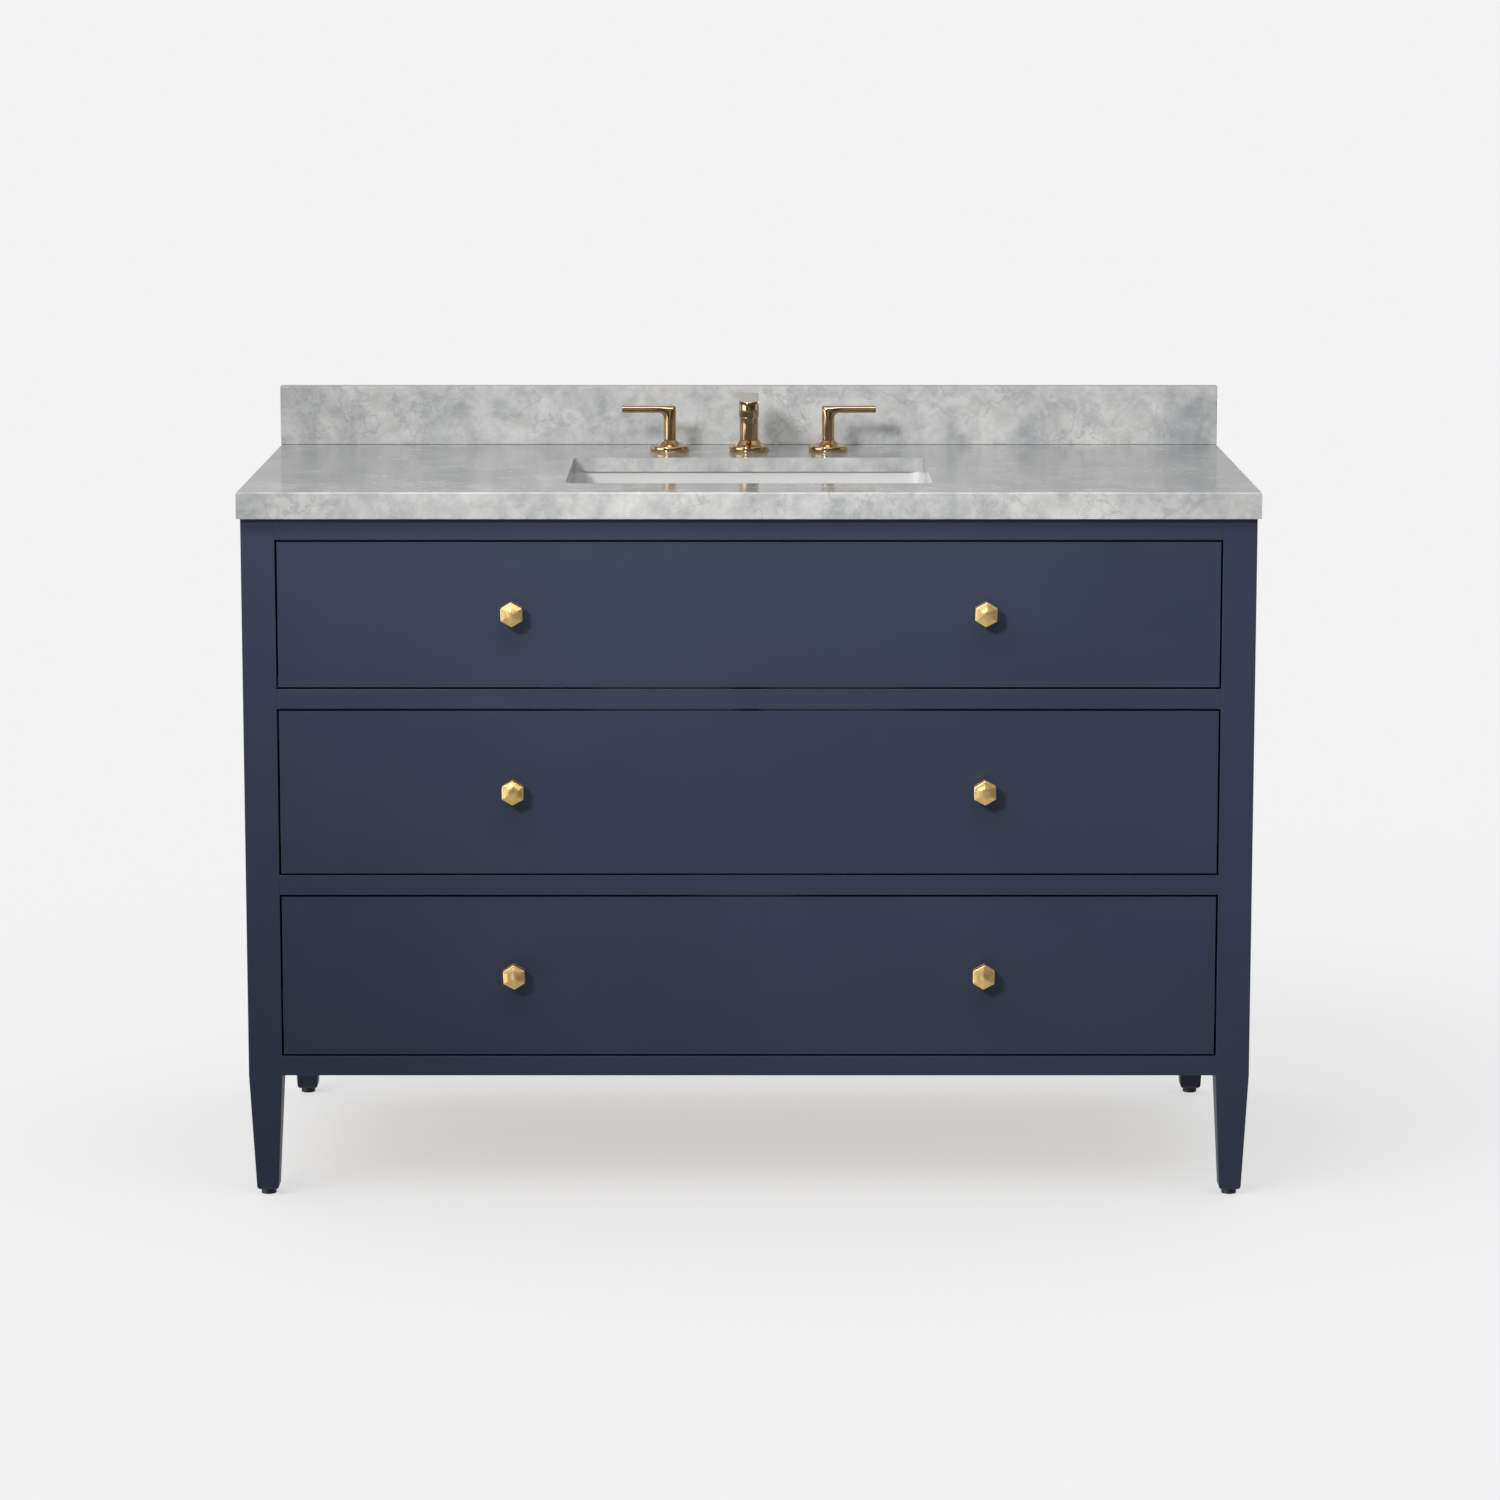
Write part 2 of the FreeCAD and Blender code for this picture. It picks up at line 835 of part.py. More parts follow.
counter_half = dim("counter_width") / 2
cut_half_x = dim("cut_width") / 2
cut_half_y = dim("cut_depth") / 2
cut_centre = dim("cut_centre")
faucet_y = dim("faucet_line")
handle_x = dim("handle_spread") / 2
strip = dim("edge_strip")

countertop = new_body("countertop")
outline = new_sketch(countertop, "XY_Plane")
add_polygon(outline, rectangle((-counter_half, counter_half), (counter_front, back_y)))
pad(countertop, outline, dim("edge_thick"))
relief = new_sketch(countertop, "XY_Plane")
add_polygon(relief, rectangle(
    (strip - counter_half, counter_half - strip), (counter_front + strip, back_y - strip)
))
pocket(countertop, relief, dim("edge_thick") - dim("slab_thick"), reverse=True)
openings = new_sketch(countertop, "XY_Plane")
add_rounded_rectangle(openings, cut_half_x, cut_half_y, dim("cut_radius"), cut_centre)
for hole_x in (-handle_x, as_size(0), handle_x):
    add_circle(openings, dim("deck_hole"), (hole_x, faucet_y))
pocket(countertop, openings)


def is_front_or_end_top(edge):
    """The exposed top edges of the slab: along the front and along both ends."""
    bounds = edge.BoundBox
    on_top = bounds.ZMin > dim("edge_thick").number - 0.01
    on_front = bounds.YMax < counter_front.number + 0.01
    on_end = min(abs(bounds.XMin), abs(bounds.XMax)) > counter_half.number - 0.01
    return on_top and (on_front or on_end)


round_edges(countertop, is_front_or_end_top, dim("edge_ease"))
place(countertop, 0, 0, carcass_top)
keep(countertop)

backsplash = prism(
    "backsplash",
    "YZ_Plane",
    [rectangle((-dim("splash_thick"), 0), (0, dim("splash_tall")))],
    dim("counter_width"),
)
round_edges(
    backsplash,
    lambda edge: edge.BoundBox.ZMin > dim("splash_tall").number - 0.01 and edge.BoundBox.YMax < -1,
    dim("edge_ease"),
)
place(backsplash, -counter_half, back_y, counter_top)
keep(backsplash)

# ---------------------------------------------------------------- basin and waste

wall = dim("bowl_wall")
hollow_x = cut_half_x + dim("reveal")
hollow_y = cut_half_y + dim("reveal")
flange_x = hollow_x + wall + dim("bowl_flange")
flange_y = hollow_y + wall + dim("bowl_flange")
bowl_corner = dim("bowl_corner")

bowl = new_body("sink_bowl")
flange_sketch = new_sketch(bowl, "XY_Plane")
add_rounded_rectangle(flange_sketch, flange_x, flange_y, bowl_corner)
pad(bowl, flange_sketch, wall, reverse=True)
shell_sketch = new_sketch(bowl, "XY_Plane")
add_rounded_rectangle(shell_sketch, hollow_x + wall, hollow_y + wall, bowl_corner + wall)
pad(bowl, shell_sketch, dim("bowl_deep") + wall, reverse=True, draft=-dim("bowl_draft"))
hollow_sketch = new_sketch(bowl, "XY_Plane")
add_rounded_rectangle(hollow_sketch, hollow_x, hollow_y, bowl_corner)
pocket(bowl, hollow_sketch, dim("bowl_deep"), draft=-dim("bowl_draft"))
bowl_floor = -dim("bowl_deep")
round_edges(
    bowl,
    lambda edge: abs(edge.BoundBox.ZMin - bowl_floor.number) < 0.01 and edge.BoundBox.ZLength < 0.01,
    dim("bowl_fillet"),
)
waste_sketch = new_sketch(bowl, "XY_Plane")
add_circle(waste_sketch, dim("waste_hole"), (0, 0))
pocket(bowl, waste_sketch)
place(bowl, 0, cut_centre, slab_under)
keep(bowl)

# Spring clips hold the bowl's flange up against the slab.
clip_outlines = []
for direction in (-1, 1):
    clip_outlines.append([
        (flange_y * direction, 0),
        ((flange_y + dim("clip_foot")) * direction, 0),
        ((flange_y + dim("clip_foot")) * direction, -(wall + dim("clip_thick"))),
        ((flange_y - dim("clip_hook")) * direction, -(wall + dim("clip_thick"))),
        ((flange_y - dim("clip_hook")) * direction, -wall),
        (flange_y * direction, -wall),
    ])
clips = []
for side_name, side in SIDES:
    clip = prism(f"sink_clip_{side_name}", "YZ_Plane", clip_outlines, dim("clip_long"))
    place(clip, cut_half_x * dim("clip_station").number * side - dim("clip_long") / 2, cut_centre, slab_under)
    clips.append(clip)
keep(group("sink_clips", clips))

bowl_inside = slab_under - dim("bowl_deep")
neck_low = -dim("waste_neck_long")
drain_flange = lathe("drain_flange", [
    (dim("waste_bore"), dim("waste_rim_thick")),
    (dim("waste_rim") - 2, dim("waste_rim_thick")),
    (dim("waste_rim"), 1),
    (dim("waste_rim"), 0),
    (dim("waste_neck"), 0),
    (dim("waste_neck"), neck_low),
    (dim("waste_bore"), neck_low),
])
bridge = new_sketch(drain_flange, "XY_Plane", -dim("bridge_drop"))
bridge_x = dim("waste_bore") + dim("bridge_bite")
add_polygon(bridge, rectangle((-bridge_x, bridge_x), (-dim("bridge_half"), dim("bridge_half"))))
pad(drain_flange, bridge, dim("bridge_thick"), reverse=True)
guide = new_sketch(drain_flange, "XY_Plane")
add_circle(guide, dim("stem_radius") + dim("running_gap"), (0, 0))
pocket(drain_flange, guide)
place(drain_flange, 0, cut_centre, bowl_inside)
keep(drain_flange)

nut_top = -wall
nut_low = nut_top - dim("waste_nut_tall")
drain_nut = lathe("drain_nut", [
    (dim("waste_neck") + dim("fit_gap"), nut_top),
    (dim("waste_nut_radius"), nut_top),
    (dim("waste_nut_radius"), nut_top - dim("nut_step")),
    (dim("waste_nut_radius") - dim("nut_step"), nut_top - 7),
    (dim("waste_nut_radius") - dim("nut_step"), nut_low),
    (dim("waste_neck") + dim("fit_gap"), nut_low),
])
place(drain_nut, 0, cut_centre, bowl_inside)
keep(drain_nut)

tail_top = neck_low + 12
tailpiece = lathe("tailpiece", [
    (dim("tail_bore"), neck_low - dim("tail_long")),
    (dim("tail_radius"), neck_low - dim("tail_long")),
    (dim("tail_radius"), neck_low - dim("tail_collar_tall")),
    (dim("tail_collar"), neck_low - dim("tail_collar_tall")),
    (dim("tail_collar"), neck_low),
    (dim("tail_radius"), neck_low),
    (dim("tail_radius"), tail_top),
    (dim("tail_bore"), tail_top),
])
place(tailpiece, 0, cut_centre, bowl_inside)
keep(tailpiece)

cap_low = dim("waste_rim_thick") + dim("stopper_gap")
stopper = lathe("drain_stopper", [
    (0, -dim("stopper_stem_drop")),
    (dim("stem_radius"), -dim("stopper_stem_drop")),
    (dim("stem_radius"), cap_low),
    (dim("stopper_radius"), cap_low),
    (dim("stopper_radius"), cap_low + 1.5),
    (dim("stopper_radius") - 4, cap_low + dim("stopper_thick") - 0.8),
    (0, cap_low + dim("stopper_thick")),
])
place(stopper, 0, cut_centre, bowl_inside)
keep(stopper)

# ---------------------------------------------------------------- faucet

deck_nut_tall = dim("deck_nut_tall")


def escutcheon(label, neck, bore, x):
    """A round rose with an upright rim and a coned shoulder up to its neck."""
    body = lathe(label, [
        (dim("shank_radius") + dim("fit_gap"), 0),
        (dim("rose_radius") - dim("rose_chamfer"), 0),
        (dim("rose_radius"), dim("rose_chamfer")),
        (dim("rose_radius"), dim("rose_rim")),
        (dim("rose_radius") - 3, dim("rose_rim") + 1.2),
        (neck + 4, dim("rose_tall") - 2.2),
        (neck + 0.8, dim("rose_tall")),
        (bore, dim("rose_tall")),
        (bore, dim("rose_hollow")),
        (dim("shank_radius") + dim("fit_gap"), dim("rose_hollow")),
    ])
    place(body, x, faucet_y, counter_top)
    return body


def shank(label, x):
    """A threaded shank below the deck, with a blind bore for the valve stem."""
    low = dim("rose_hollow") - dim("shank_long")
    body = lathe(label, [
        (0, low),
        (dim("supply_radius"), low),
        (dim("supply_radius"), low + dim("supply_long")),
        (dim("shank_radius"), low + dim("supply_long")),
        (dim("shank_radius"), dim("rose_hollow")),
        (dim("stem_radius") + 1, dim("rose_hollow")),
        (dim("stem_radius") + 1, dim("rose_hollow") - dim("shank_bore_deep")),
        (0, dim("rose_hollow") - dim("shank_bore_deep")),
    ])
    place(body, x, faucet_y, counter_top)
    return body


def deck_nut(label, x):
    """A flanged ring nut that pulls the shank down onto the deck."""
    low = -dim("slab_thick") - deck_nut_tall
    body = lathe(label, [
        (dim("shank_radius") + dim("fit_gap"), -dim("slab_thick")),
        (dim("deck_nut_radius"), -dim("slab_thick")),
        (dim("deck_nut_radius"), -dim("slab_thick") - dim("deck_washer")),
        (dim("deck_nut_radius") - dim("deck_step"), -dim("slab_thick") - dim("deck_washer")),
        (dim("deck_nut_radius") - dim("deck_step"), low),
        (dim("shank_radius") + dim("fit_gap"), low),
    ])
    place(body, x, faucet_y, counter_top)
    return body


STATIONS = (("left", -handle_x), ("centre", as_size(0)), ("right", handle_x))
stem_hole = dim("stem_radius") + 0.5
keep(group("handle_escutcheons", [
    escutcheon("left_escutcheon", dim("handle_radius"), stem_hole, -handle_x),
    escutcheon("right_escutcheon", dim("handle_radius"), stem_hole, handle_x),
]))
keep(escutcheon("spout_escutcheon", dim("spout_radius"), stem_hole, as_size(0)))
keep(group("faucet_shanks", [shank(f"{name}_shank", x) for name, x in STATIONS]))
keep(group("faucet_nuts", [deck_nut(f"{name}_nut", x) for name, x in STATIONS]))


def handle(label, side):
    """An L-shaped lever handle with the valve stem that it turns."""
    body = new_body(label)
    column = new_sketch(body, "XY_Plane", dim("rose_tall") + dim("running_gap"))
    add_circle(column, dim("handle_radius"), (0, 0))
    column_tall = dim("handle_tall") - dim("rose_tall") - dim("running_gap")
    pad(body, column, column_tall)
    lever = new_sketch(body, "XZ_Plane")
    half_wide = dim("lever_wide") / 2
    lever_low = dim("handle_tall") - dim("lever_thick")
    fillet = dim("lever_fillet")
    add_polygon(lever, [
        (-dim("handle_radius") * side * 0.7, dim("handle_tall")),
        (-dim("handle_radius") * side * 0.7, lever_low - fillet),
        (dim("handle_radius") * side * 0.7, lever_low - fillet),
        ((dim("handle_radius") + fillet * 0.3) * side, lever_low - fillet * 0.3),
        ((dim("handle_radius") + fillet) * side, lever_low),
        (dim("lever_reach") * side, lever_low),
        (dim("lever_reach") * side, dim("handle_tall")),
    ])
    bind(lever, ".AttachmentOffset.Base.z", -half_wide)
    pad(body, lever, dim("lever_wide"))
    stem = new_sketch(body, "XY_Plane", dim("rose_hollow") - dim("shank_bore_deep") + 6)
    add_circle(stem, dim("stem_radius"), (0, 0))
    stem_long = dim("rose_tall") - dim("rose_hollow") + dim("shank_bore_deep") - 4
    pad(body, stem, stem_long)
    place(body, handle_x * side, faucet_y, counter_top)
    return body


for side_name, side in SIDES:
    keep(handle(f"{side_name}_handle", side))

spout = new_body("spout")
spout_column = new_sketch(spout, "XY_Plane", dim("rose_tall"))
add_circle(spout_column, dim("spout_radius"), (0, 0))
pad(spout, spout_column, dim("spout_tall") - dim("rose_tall"))
arm_low = dim("spout_tall") - dim("spout_thick")
half_arm = dim("spout_wide") / 2
arm = new_sketch(spout, "XY_Plane", arm_low)
arm_half_long = (dim("spout_reach") + half_arm) / 2
add_rounded_rectangle(arm, half_arm, arm_half_long, half_arm - 0.5, half_arm - arm_half_long)
pad(spout, arm, dim("spout_thick"))
aerator_y = dim("aerator_setback") - dim("spout_reach")
seat = new_sketch(spout, "XY_Plane", arm_low)
add_circle(seat, dim("aerator_radius") + dim("fit_gap"), (0, aerator_y))
pocket(spout, seat, dim("aerator_deep"), reverse=True)
place(spout, 0, faucet_y, counter_top)
keep(spout)

keep(cylinder(
    "aerator",
    dim("aerator_radius"),
    dim("aerator_deep") + dim("aerator_lip"),
    0,
    faucet_y + aerator_y,
    counter_top + arm_low - dim("aerator_lip"),
))

# ---------------------------------------------------------------- check and write

doc.recompute()
for obj in doc.Objects:
    if "Invalid" in obj.State or "Error" in obj.State:
        raise ValueError(f"{obj.Label} failed: {obj.State}")

os.makedirs("parts", exist_ok=True)
for obj in NODES:
    if obj.Shape.isNull() or not obj.Shape.isValid():
        raise ValueError(f"{obj.Label} has no valid shape")
    obj.Shape.exportStep(f"parts/{obj.Label}.step")
    bounds = obj.Shape.BoundBox
    print(
        f"{obj.Label:28s} solids {len(obj.Shape.Solids)}  "
        f"x {bounds.XMin:8.1f} {bounds.XMax:8.1f}  "
        f"y {bounds.YMin:8.1f} {bounds.YMax:8.1f}  "
        f"z {bounds.ZMin:8.1f} {bounds.ZMax:8.1f}"
    )
print(len(NODES), "nodes")
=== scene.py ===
import json
import math

import bmesh
import bpy
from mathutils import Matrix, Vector


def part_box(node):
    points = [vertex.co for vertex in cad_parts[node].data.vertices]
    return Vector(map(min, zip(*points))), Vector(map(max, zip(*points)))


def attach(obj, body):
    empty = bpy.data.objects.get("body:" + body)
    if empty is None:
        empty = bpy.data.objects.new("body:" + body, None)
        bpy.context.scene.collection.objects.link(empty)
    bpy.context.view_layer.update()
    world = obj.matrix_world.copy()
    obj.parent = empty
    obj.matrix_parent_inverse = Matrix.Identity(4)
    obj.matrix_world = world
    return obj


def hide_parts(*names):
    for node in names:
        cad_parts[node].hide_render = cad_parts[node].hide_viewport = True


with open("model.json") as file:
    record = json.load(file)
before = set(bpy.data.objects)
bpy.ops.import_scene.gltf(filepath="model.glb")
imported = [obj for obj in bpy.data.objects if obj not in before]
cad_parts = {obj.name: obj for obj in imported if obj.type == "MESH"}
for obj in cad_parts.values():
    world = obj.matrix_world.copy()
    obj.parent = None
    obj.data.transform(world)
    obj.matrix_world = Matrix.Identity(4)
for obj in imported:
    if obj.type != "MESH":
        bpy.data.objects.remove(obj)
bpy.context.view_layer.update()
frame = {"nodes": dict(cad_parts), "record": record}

MM = 0.001
RECORD = frame["record"]
OBJECTS = frame["nodes"]


# ---------------------------------------------------------------- node graphs

class NodeGraph:
    """A cleared tree of shader nodes, with short ways to add and join them."""

    def __init__(self, tree):
        self.tree = tree
        self.tree.nodes.clear()

    def add(self, kind, **settings):
        node = self.tree.nodes.new(kind)
        for name, value in settings.items():
            setattr(node, name, value)
        return node

    def link(self, source, target):
        self.tree.links.new(source, target)

    def feed(self, node, socket, value):
        """Give a socket either a link or a constant; None leaves it alone."""
        if isinstance(value, bpy.types.NodeSocket):
            self.link(value, node.inputs[socket])
        elif value is not None:
            node.inputs[socket].default_value = value

    def split(self, vector):
        """The three parts of a vector."""
        node = self.add("ShaderNodeSeparateXYZ")
        self.link(vector, node.inputs["Vector"])
        return [node.outputs[axis] for axis in "XYZ"]

    def math(self, operation, first, second=None):
        node = self.add("ShaderNodeMath", operation=operation)
        self.feed(node, 0, first)
        self.feed(node, 1, second)
        return node.outputs[0]

    def remap(self, value, source=(0.0, 1.0), target=(0.0, 1.0)):
        """Map one range onto another, held at its ends."""
        node = self.add("ShaderNodeMapRange")
        self.link(value, node.inputs["Value"])
        for kind, ends in (("From", source), ("To", target)):
            for end, number in zip(("Min", "Max"), ends):
                node.inputs[f"{kind} {end}"].default_value = number
        return node.outputs["Result"]

    def ramp(self, factor, stops, interpolation="EASE"):
        """Stops are pairs of position and either a grey or a colour."""
        node = self.add("ShaderNodeValToRGB")
        self.link(factor, node.inputs["Fac"])
        node.color_ramp.interpolation = interpolation
        while len(node.color_ramp.elements) < len(stops):
            node.color_ramp.elements.new(0.5)
        for element, (position, value) in zip(node.color_ramp.elements, stops):
            element.position = position
            element.color = (*value, 1) if isinstance(value, tuple) else (value, value, value, 1)
        return node.outputs["Color"]

    def blend(self, factor, first, second, mode="MIX"):
        node = self.add("ShaderNodeMix", data_type="RGBA", blend_type=mode)
        self.feed(node, "Factor", factor)
        for name, value in (("A", first), ("B", second)):
            socket = next(item for item in node.inputs if item.name == name and item.type == "RGBA")
            if isinstance(value, bpy.types.NodeSocket):
                self.link(value, socket)
            else:
                socket.default_value = (*value, 1)
        return next(item for item in node.outputs if item.type == "RGBA")


class MaterialGraph(NodeGraph):
    """A material under construction, with one Principled shader at its end."""

    def __init__(self, name, **settings):
        self.material = bpy.data.materials.new(name)
        self.material.use_nodes = True
        super().__init__(self.material.node_tree)
        self.shader = self.add("ShaderNodeBsdfPrincipled")
        self.link(self.shader.outputs["BSDF"], self.add("ShaderNodeOutputMaterial").inputs["Surface"])
        for socket, value in settings.items():
            self.shader.inputs[socket.replace("_", " ")].default_value = value
        self.place = self.add("ShaderNodeTexCoord").outputs["Object"]

    def stretched(self, scale, turn=(0, 0, 0), source=None):
        node = self.add("ShaderNodeMapping")
        self.link(source or self.place, node.inputs["Vector"])
        node.inputs["Scale"].default_value = scale
        node.inputs["Rotation"].default_value = [math.radians(angle) for angle in turn]
        return node.outputs["Vector"]

    def noise(self, vector=None, scale=5.0, detail=4.0, roughness=0.5, output="Fac"):
        node = self.add("ShaderNodeTexNoise")
        self.link(vector or self.place, node.inputs["Vector"])
        node.inputs["Scale"].default_value = scale
        node.inputs["Detail"].default_value = detail
        node.inputs["Roughness"].default_value = roughness
        return node.outputs[output]

    def vector_math(self, operation, first, second=None, scale=None):
        node = self.add("ShaderNodeVectorMath", operation=operation)
        self.feed(node, 0, first)
        self.feed(node, 1, second)
        self.feed(node, "Scale", scale)
        return node.outputs["Vector"]

    def warped(self, vector, scale, amount):
        """Coordinates pushed about by a coloured noise."""
        wander = self.noise(vector, scale=scale, detail=3.0, output="Color")
        centred = self.vector_math("SUBTRACT", wander, (0.5, 0.5, 0.5))
        return self.vector_math("ADD", vector, self.vector_math("SCALE", centred, scale=amount))

    def upward(self):
        """How far the surface faces up, from -1 to 1, on a piece that stays level."""
        return self.split(self.add("ShaderNodeTexCoord").outputs["Normal"])[2]

    def off_middle(self, value):
        """How far a 0 to 1 value lies from its middle, so the line where it is 0 reads as a vein."""
        return self.math("ABSOLUTE", self.math("SUBTRACT", value, 0.5))

    def bump(self, height, strength, distance):
        node = self.add("ShaderNodeBump")
        node.inputs["Strength"].default_value = strength
        node.inputs["Distance"].default_value = distance
        self.link(height, node.inputs["Height"])
        self.link(node.outputs["Normal"], self.shader.inputs["Normal"])

    def colour(self, value):
        self.feed(self.shader, "Base Color", value)

    def colour_between(self, factor, dark, light):
        self.colour(self.ramp(factor, [(0.3, dark), (0.7, light)]))

    def roughness_between(self, factor, low, high):
        self.feed(self.shader, "Roughness", self.remap(factor, target=(low, high)))


# ---------------------------------------------------------------- materials

def navy_paint():
    """Sprayed satin enamel over timber: faint orange peel and cloudy sheen."""
    graph = MaterialGraph("navy_paint", IOR=1.45)
    cloud = graph.noise(scale=3.0, detail=3.0)
    graph.colour_between(cloud, (0.0190, 0.0285, 0.0580), (0.0218, 0.0322, 0.0645))
    sheen = graph.noise(graph.stretched((1.0, 1.0, 2.5)), scale=9.0, detail=5.0)
    graph.roughness_between(sheen, 0.40, 0.50)
    peel = graph.noise(scale=420.0, detail=2.0)
    graph.bump(peel, 0.08, 0.0004)
    return graph.material


STONE_TONES = [
    (0.34, (0.33, 0.34, 0.342)),
    (0.44, (0.405, 0.412, 0.410)),
    (0.54, (0.470, 0.470, 0.457)),
    (0.68, (0.525, 0.522, 0.504)),
]
STONE_SLANT = (18, 24, 31)
SMOKE_COLOUR = (0.25, 0.262, 0.275)
THREAD_COLOUR = (0.29, 0.30, 0.305)
# Painted shade for level tops: multiplies faces that look up darker and a touch bluer than the edges.
TOP_FACE_PAINTED_SHADE = (0.86, 0.875, 0.89)


def marble(name, shift, brightness):
    """Polished grey-white marble: cloudy ground, fine mottling, smoky patches of vein and thin threads, and
    painted shade that makes level tops darker than upright edges.
    """
    graph = MaterialGraph(name, Coat_Weight=0.25, Coat_Roughness=0.05, IOR=1.48)
    moved = graph.vector_math("ADD", graph.place, shift)
    slanted = graph.stretched((1.0, 1.0, 1.0), turn=STONE_SLANT, source=moved)

    cloud = graph.noise(graph.warped(slanted, 4.0, 0.16), scale=10.0, detail=9.0, roughness=0.68)
    tones = [(at, tuple(channel * brightness for channel in tone)) for at, tone in STONE_TONES]
    ground = graph.ramp(cloud, tones)
    grain = graph.noise(graph.warped(slanted, 22.0, 0.02), scale=48.0, detail=5.0, roughness=0.62)
    mottled = graph.blend(0.6, ground, graph.ramp(grain, [(0.32, 0.34), (0.68, 0.68)]), "SOFT_LIGHT")

    patches = graph.ramp(graph.noise(slanted, scale=3.6, detail=2.0), [(0.44, 0.0), (0.62, 1.0)])
    ridge = graph.noise(graph.warped(slanted, 7.0, 0.12), scale=6.0, detail=6.0, roughness=0.62)
    smoke = graph.ramp(graph.off_middle(ridge), [(0.0, 0.55), (0.03, 0.24), (0.09, 0.0)])
    veined = graph.blend(graph.math("MULTIPLY", smoke, patches), mottled, SMOKE_COLOUR)

    clusters = graph.ramp(graph.noise(moved, scale=5.0, detail=2.0), [(0.38, 0.30), (0.58, 1.0)])
    fine = graph.noise(graph.warped(slanted, 16.0, 0.04), scale=17.0, detail=7.0, roughness=0.62)
    thread = graph.ramp(graph.off_middle(fine), [(0.0, 0.62), (0.026, 0.0)])
    threaded = graph.blend(graph.math("MULTIPLY", thread, clusters), veined, THREAD_COLOUR)

    # Painted shade: faces that look up are multiplied darker and bluer than the upright edges, standing in
    # for the top getting less light.
    upright = graph.ramp(graph.upward(), [(0.6, 1.0), (0.95, 0.0)])
    painted_shade_top = graph.blend(1.0, threaded, TOP_FACE_PAINTED_SHADE, "MULTIPLY")
    graph.colour(graph.blend(upright, painted_shade_top, threaded))
    graph.roughness_between(grain, 0.11, 0.18)
    return graph.material


def white_ceramic():
    """Vitreous china: warm white glaze, with the faint waviness of a fired surface."""
    graph = MaterialGraph("white_ceramic", Coat_Weight=0.4, Coat_Roughness=0.04, IOR=1.5)
    cloud = graph.noise(scale=6.0, detail=2.0)
    graph.colour_between(cloud, (0.50, 0.50, 0.49), (0.54, 0.54, 0.53))
    graph.roughness_between(graph.noise(scale=30.0, detail=2.0), 0.12, 0.18)
    graph.bump(graph.noise(scale=18.0, detail=1.0), 0.05, 0.002)
    return graph.material


def satin_brass():
    """Brushed brass with short fine strokes across the face."""
    graph = MaterialGraph("satin_brass", Metallic=1.0, Anisotropic=0.6)
    strokes = graph.noise(graph.stretched((900.0, 60.0, 60.0), turn=(0, 40, 0)), scale=1.0, detail=3.0)
    tone = graph.noise(scale=90.0, detail=3.0)
    warm = graph.ramp(tone, [(0.3, (0.84, 0.56, 0.22)), (0.7, (0.92, 0.65, 0.28))])
    graph.colour(graph.blend(0.25, warm, graph.ramp(strokes, [(0.3, 0.35), (0.7, 0.65)]), "OVERLAY"))
    graph.roughness_between(strokes, 0.34, 0.44)
    graph.bump(strokes, 0.10, 0.0003)
    return graph.material


def polished_bronze():
    """Polished warm bronze-gold plating with very light handling haze."""
    graph = MaterialGraph("polished_bronze", Metallic=1.0)
    tone = graph.noise(scale=55.0, detail=3.0)
    graph.colour_between(tone, (0.47, 0.322, 0.182), (0.54, 0.373, 0.212))
    haze = graph.noise(scale=140.0, detail=5.0, roughness=0.65)
    graph.roughness_between(haze, 0.09, 0.12)
    return graph.material


def raw_brass():
    """Machined brass with fine turning rings."""
    graph = MaterialGraph("raw_brass", Metallic=1.0)
    rings = graph.noise(graph.stretched((20.0, 20.0, 1600.0)), scale=1.0, detail=2.0)
    graph.colour_between(rings, (0.55, 0.40, 0.18), (0.70, 0.53, 0.26))
    graph.roughness_between(rings, 0.28, 0.42)
    graph.bump(rings, 0.2, 0.0002)
    return graph.material


def timber(name, light, dark, grain_axis, rough):
    """Sealed timber: long wavering growth bands with short pores along the grain."""
    graph = MaterialGraph(name, IOR=1.45)
    band_scale = [26.0, 26.0, 26.0]
    band_scale[grain_axis] = 1.6
    pore_scale = [700.0, 700.0, 700.0]
    pore_scale[grain_axis] = 14.0
    wander = graph.warped(graph.stretched(band_scale), 0.7, 0.5)
    bands = graph.noise(wander, scale=1.0, detail=4.0, roughness=0.55)
    board = graph.ramp(bands, [(0.28, dark), (0.5, light), (0.62, dark), (0.8, light)])
    pores = graph.noise(graph.stretched(pore_scale), scale=1.0, detail=2.0)
    pore_colour = tuple(channel * 0.55 for channel in dark)
    graph.colour(graph.blend(graph.ramp(pores, [(0.30, 0.55), (0.42, 0.0)]), board, pore_colour))
    graph.roughness_between(pores, rough - 0.08, rough + 0.08)
    graph.bump(pores, 0.25, 0.0003)
    return graph.material


def zinc_steel():
    """Cold rolled, zinc plated steel with a faint spangle and rolling lines."""
    graph = MaterialGraph("zinc_steel", Metallic=1.0)
    lines = graph.noise(graph.stretched((900.0, 8.0, 900.0)), scale=1.0, detail=2.0)
    spangle = graph.noise(scale=160.0, detail=3.0)
    plate = graph.ramp(spangle, [(0.3, (0.50, 0.52, 0.54)), (0.7, (0.62, 0.63, 0.65))])
    graph.colour(graph.blend(0.2, plate, graph.ramp(lines, [(0.3, 0.40), (0.7, 0.60)]), "OVERLAY"))
    graph.roughness_between(lines, 0.26, 0.40)
    return graph.material


def black_plastic():
    """Moulded matt nylon."""
    graph = MaterialGraph("black_plastic", IOR=1.5)
    tone = graph.noise(scale=300.0, detail=2.0)
    graph.colour_between(tone, (0.010, 0.010, 0.011), (0.018, 0.018, 0.019))
    graph.roughness_between(tone, 0.50, 0.65)
    graph.bump(tone, 0.15, 0.0003)
    return graph.material


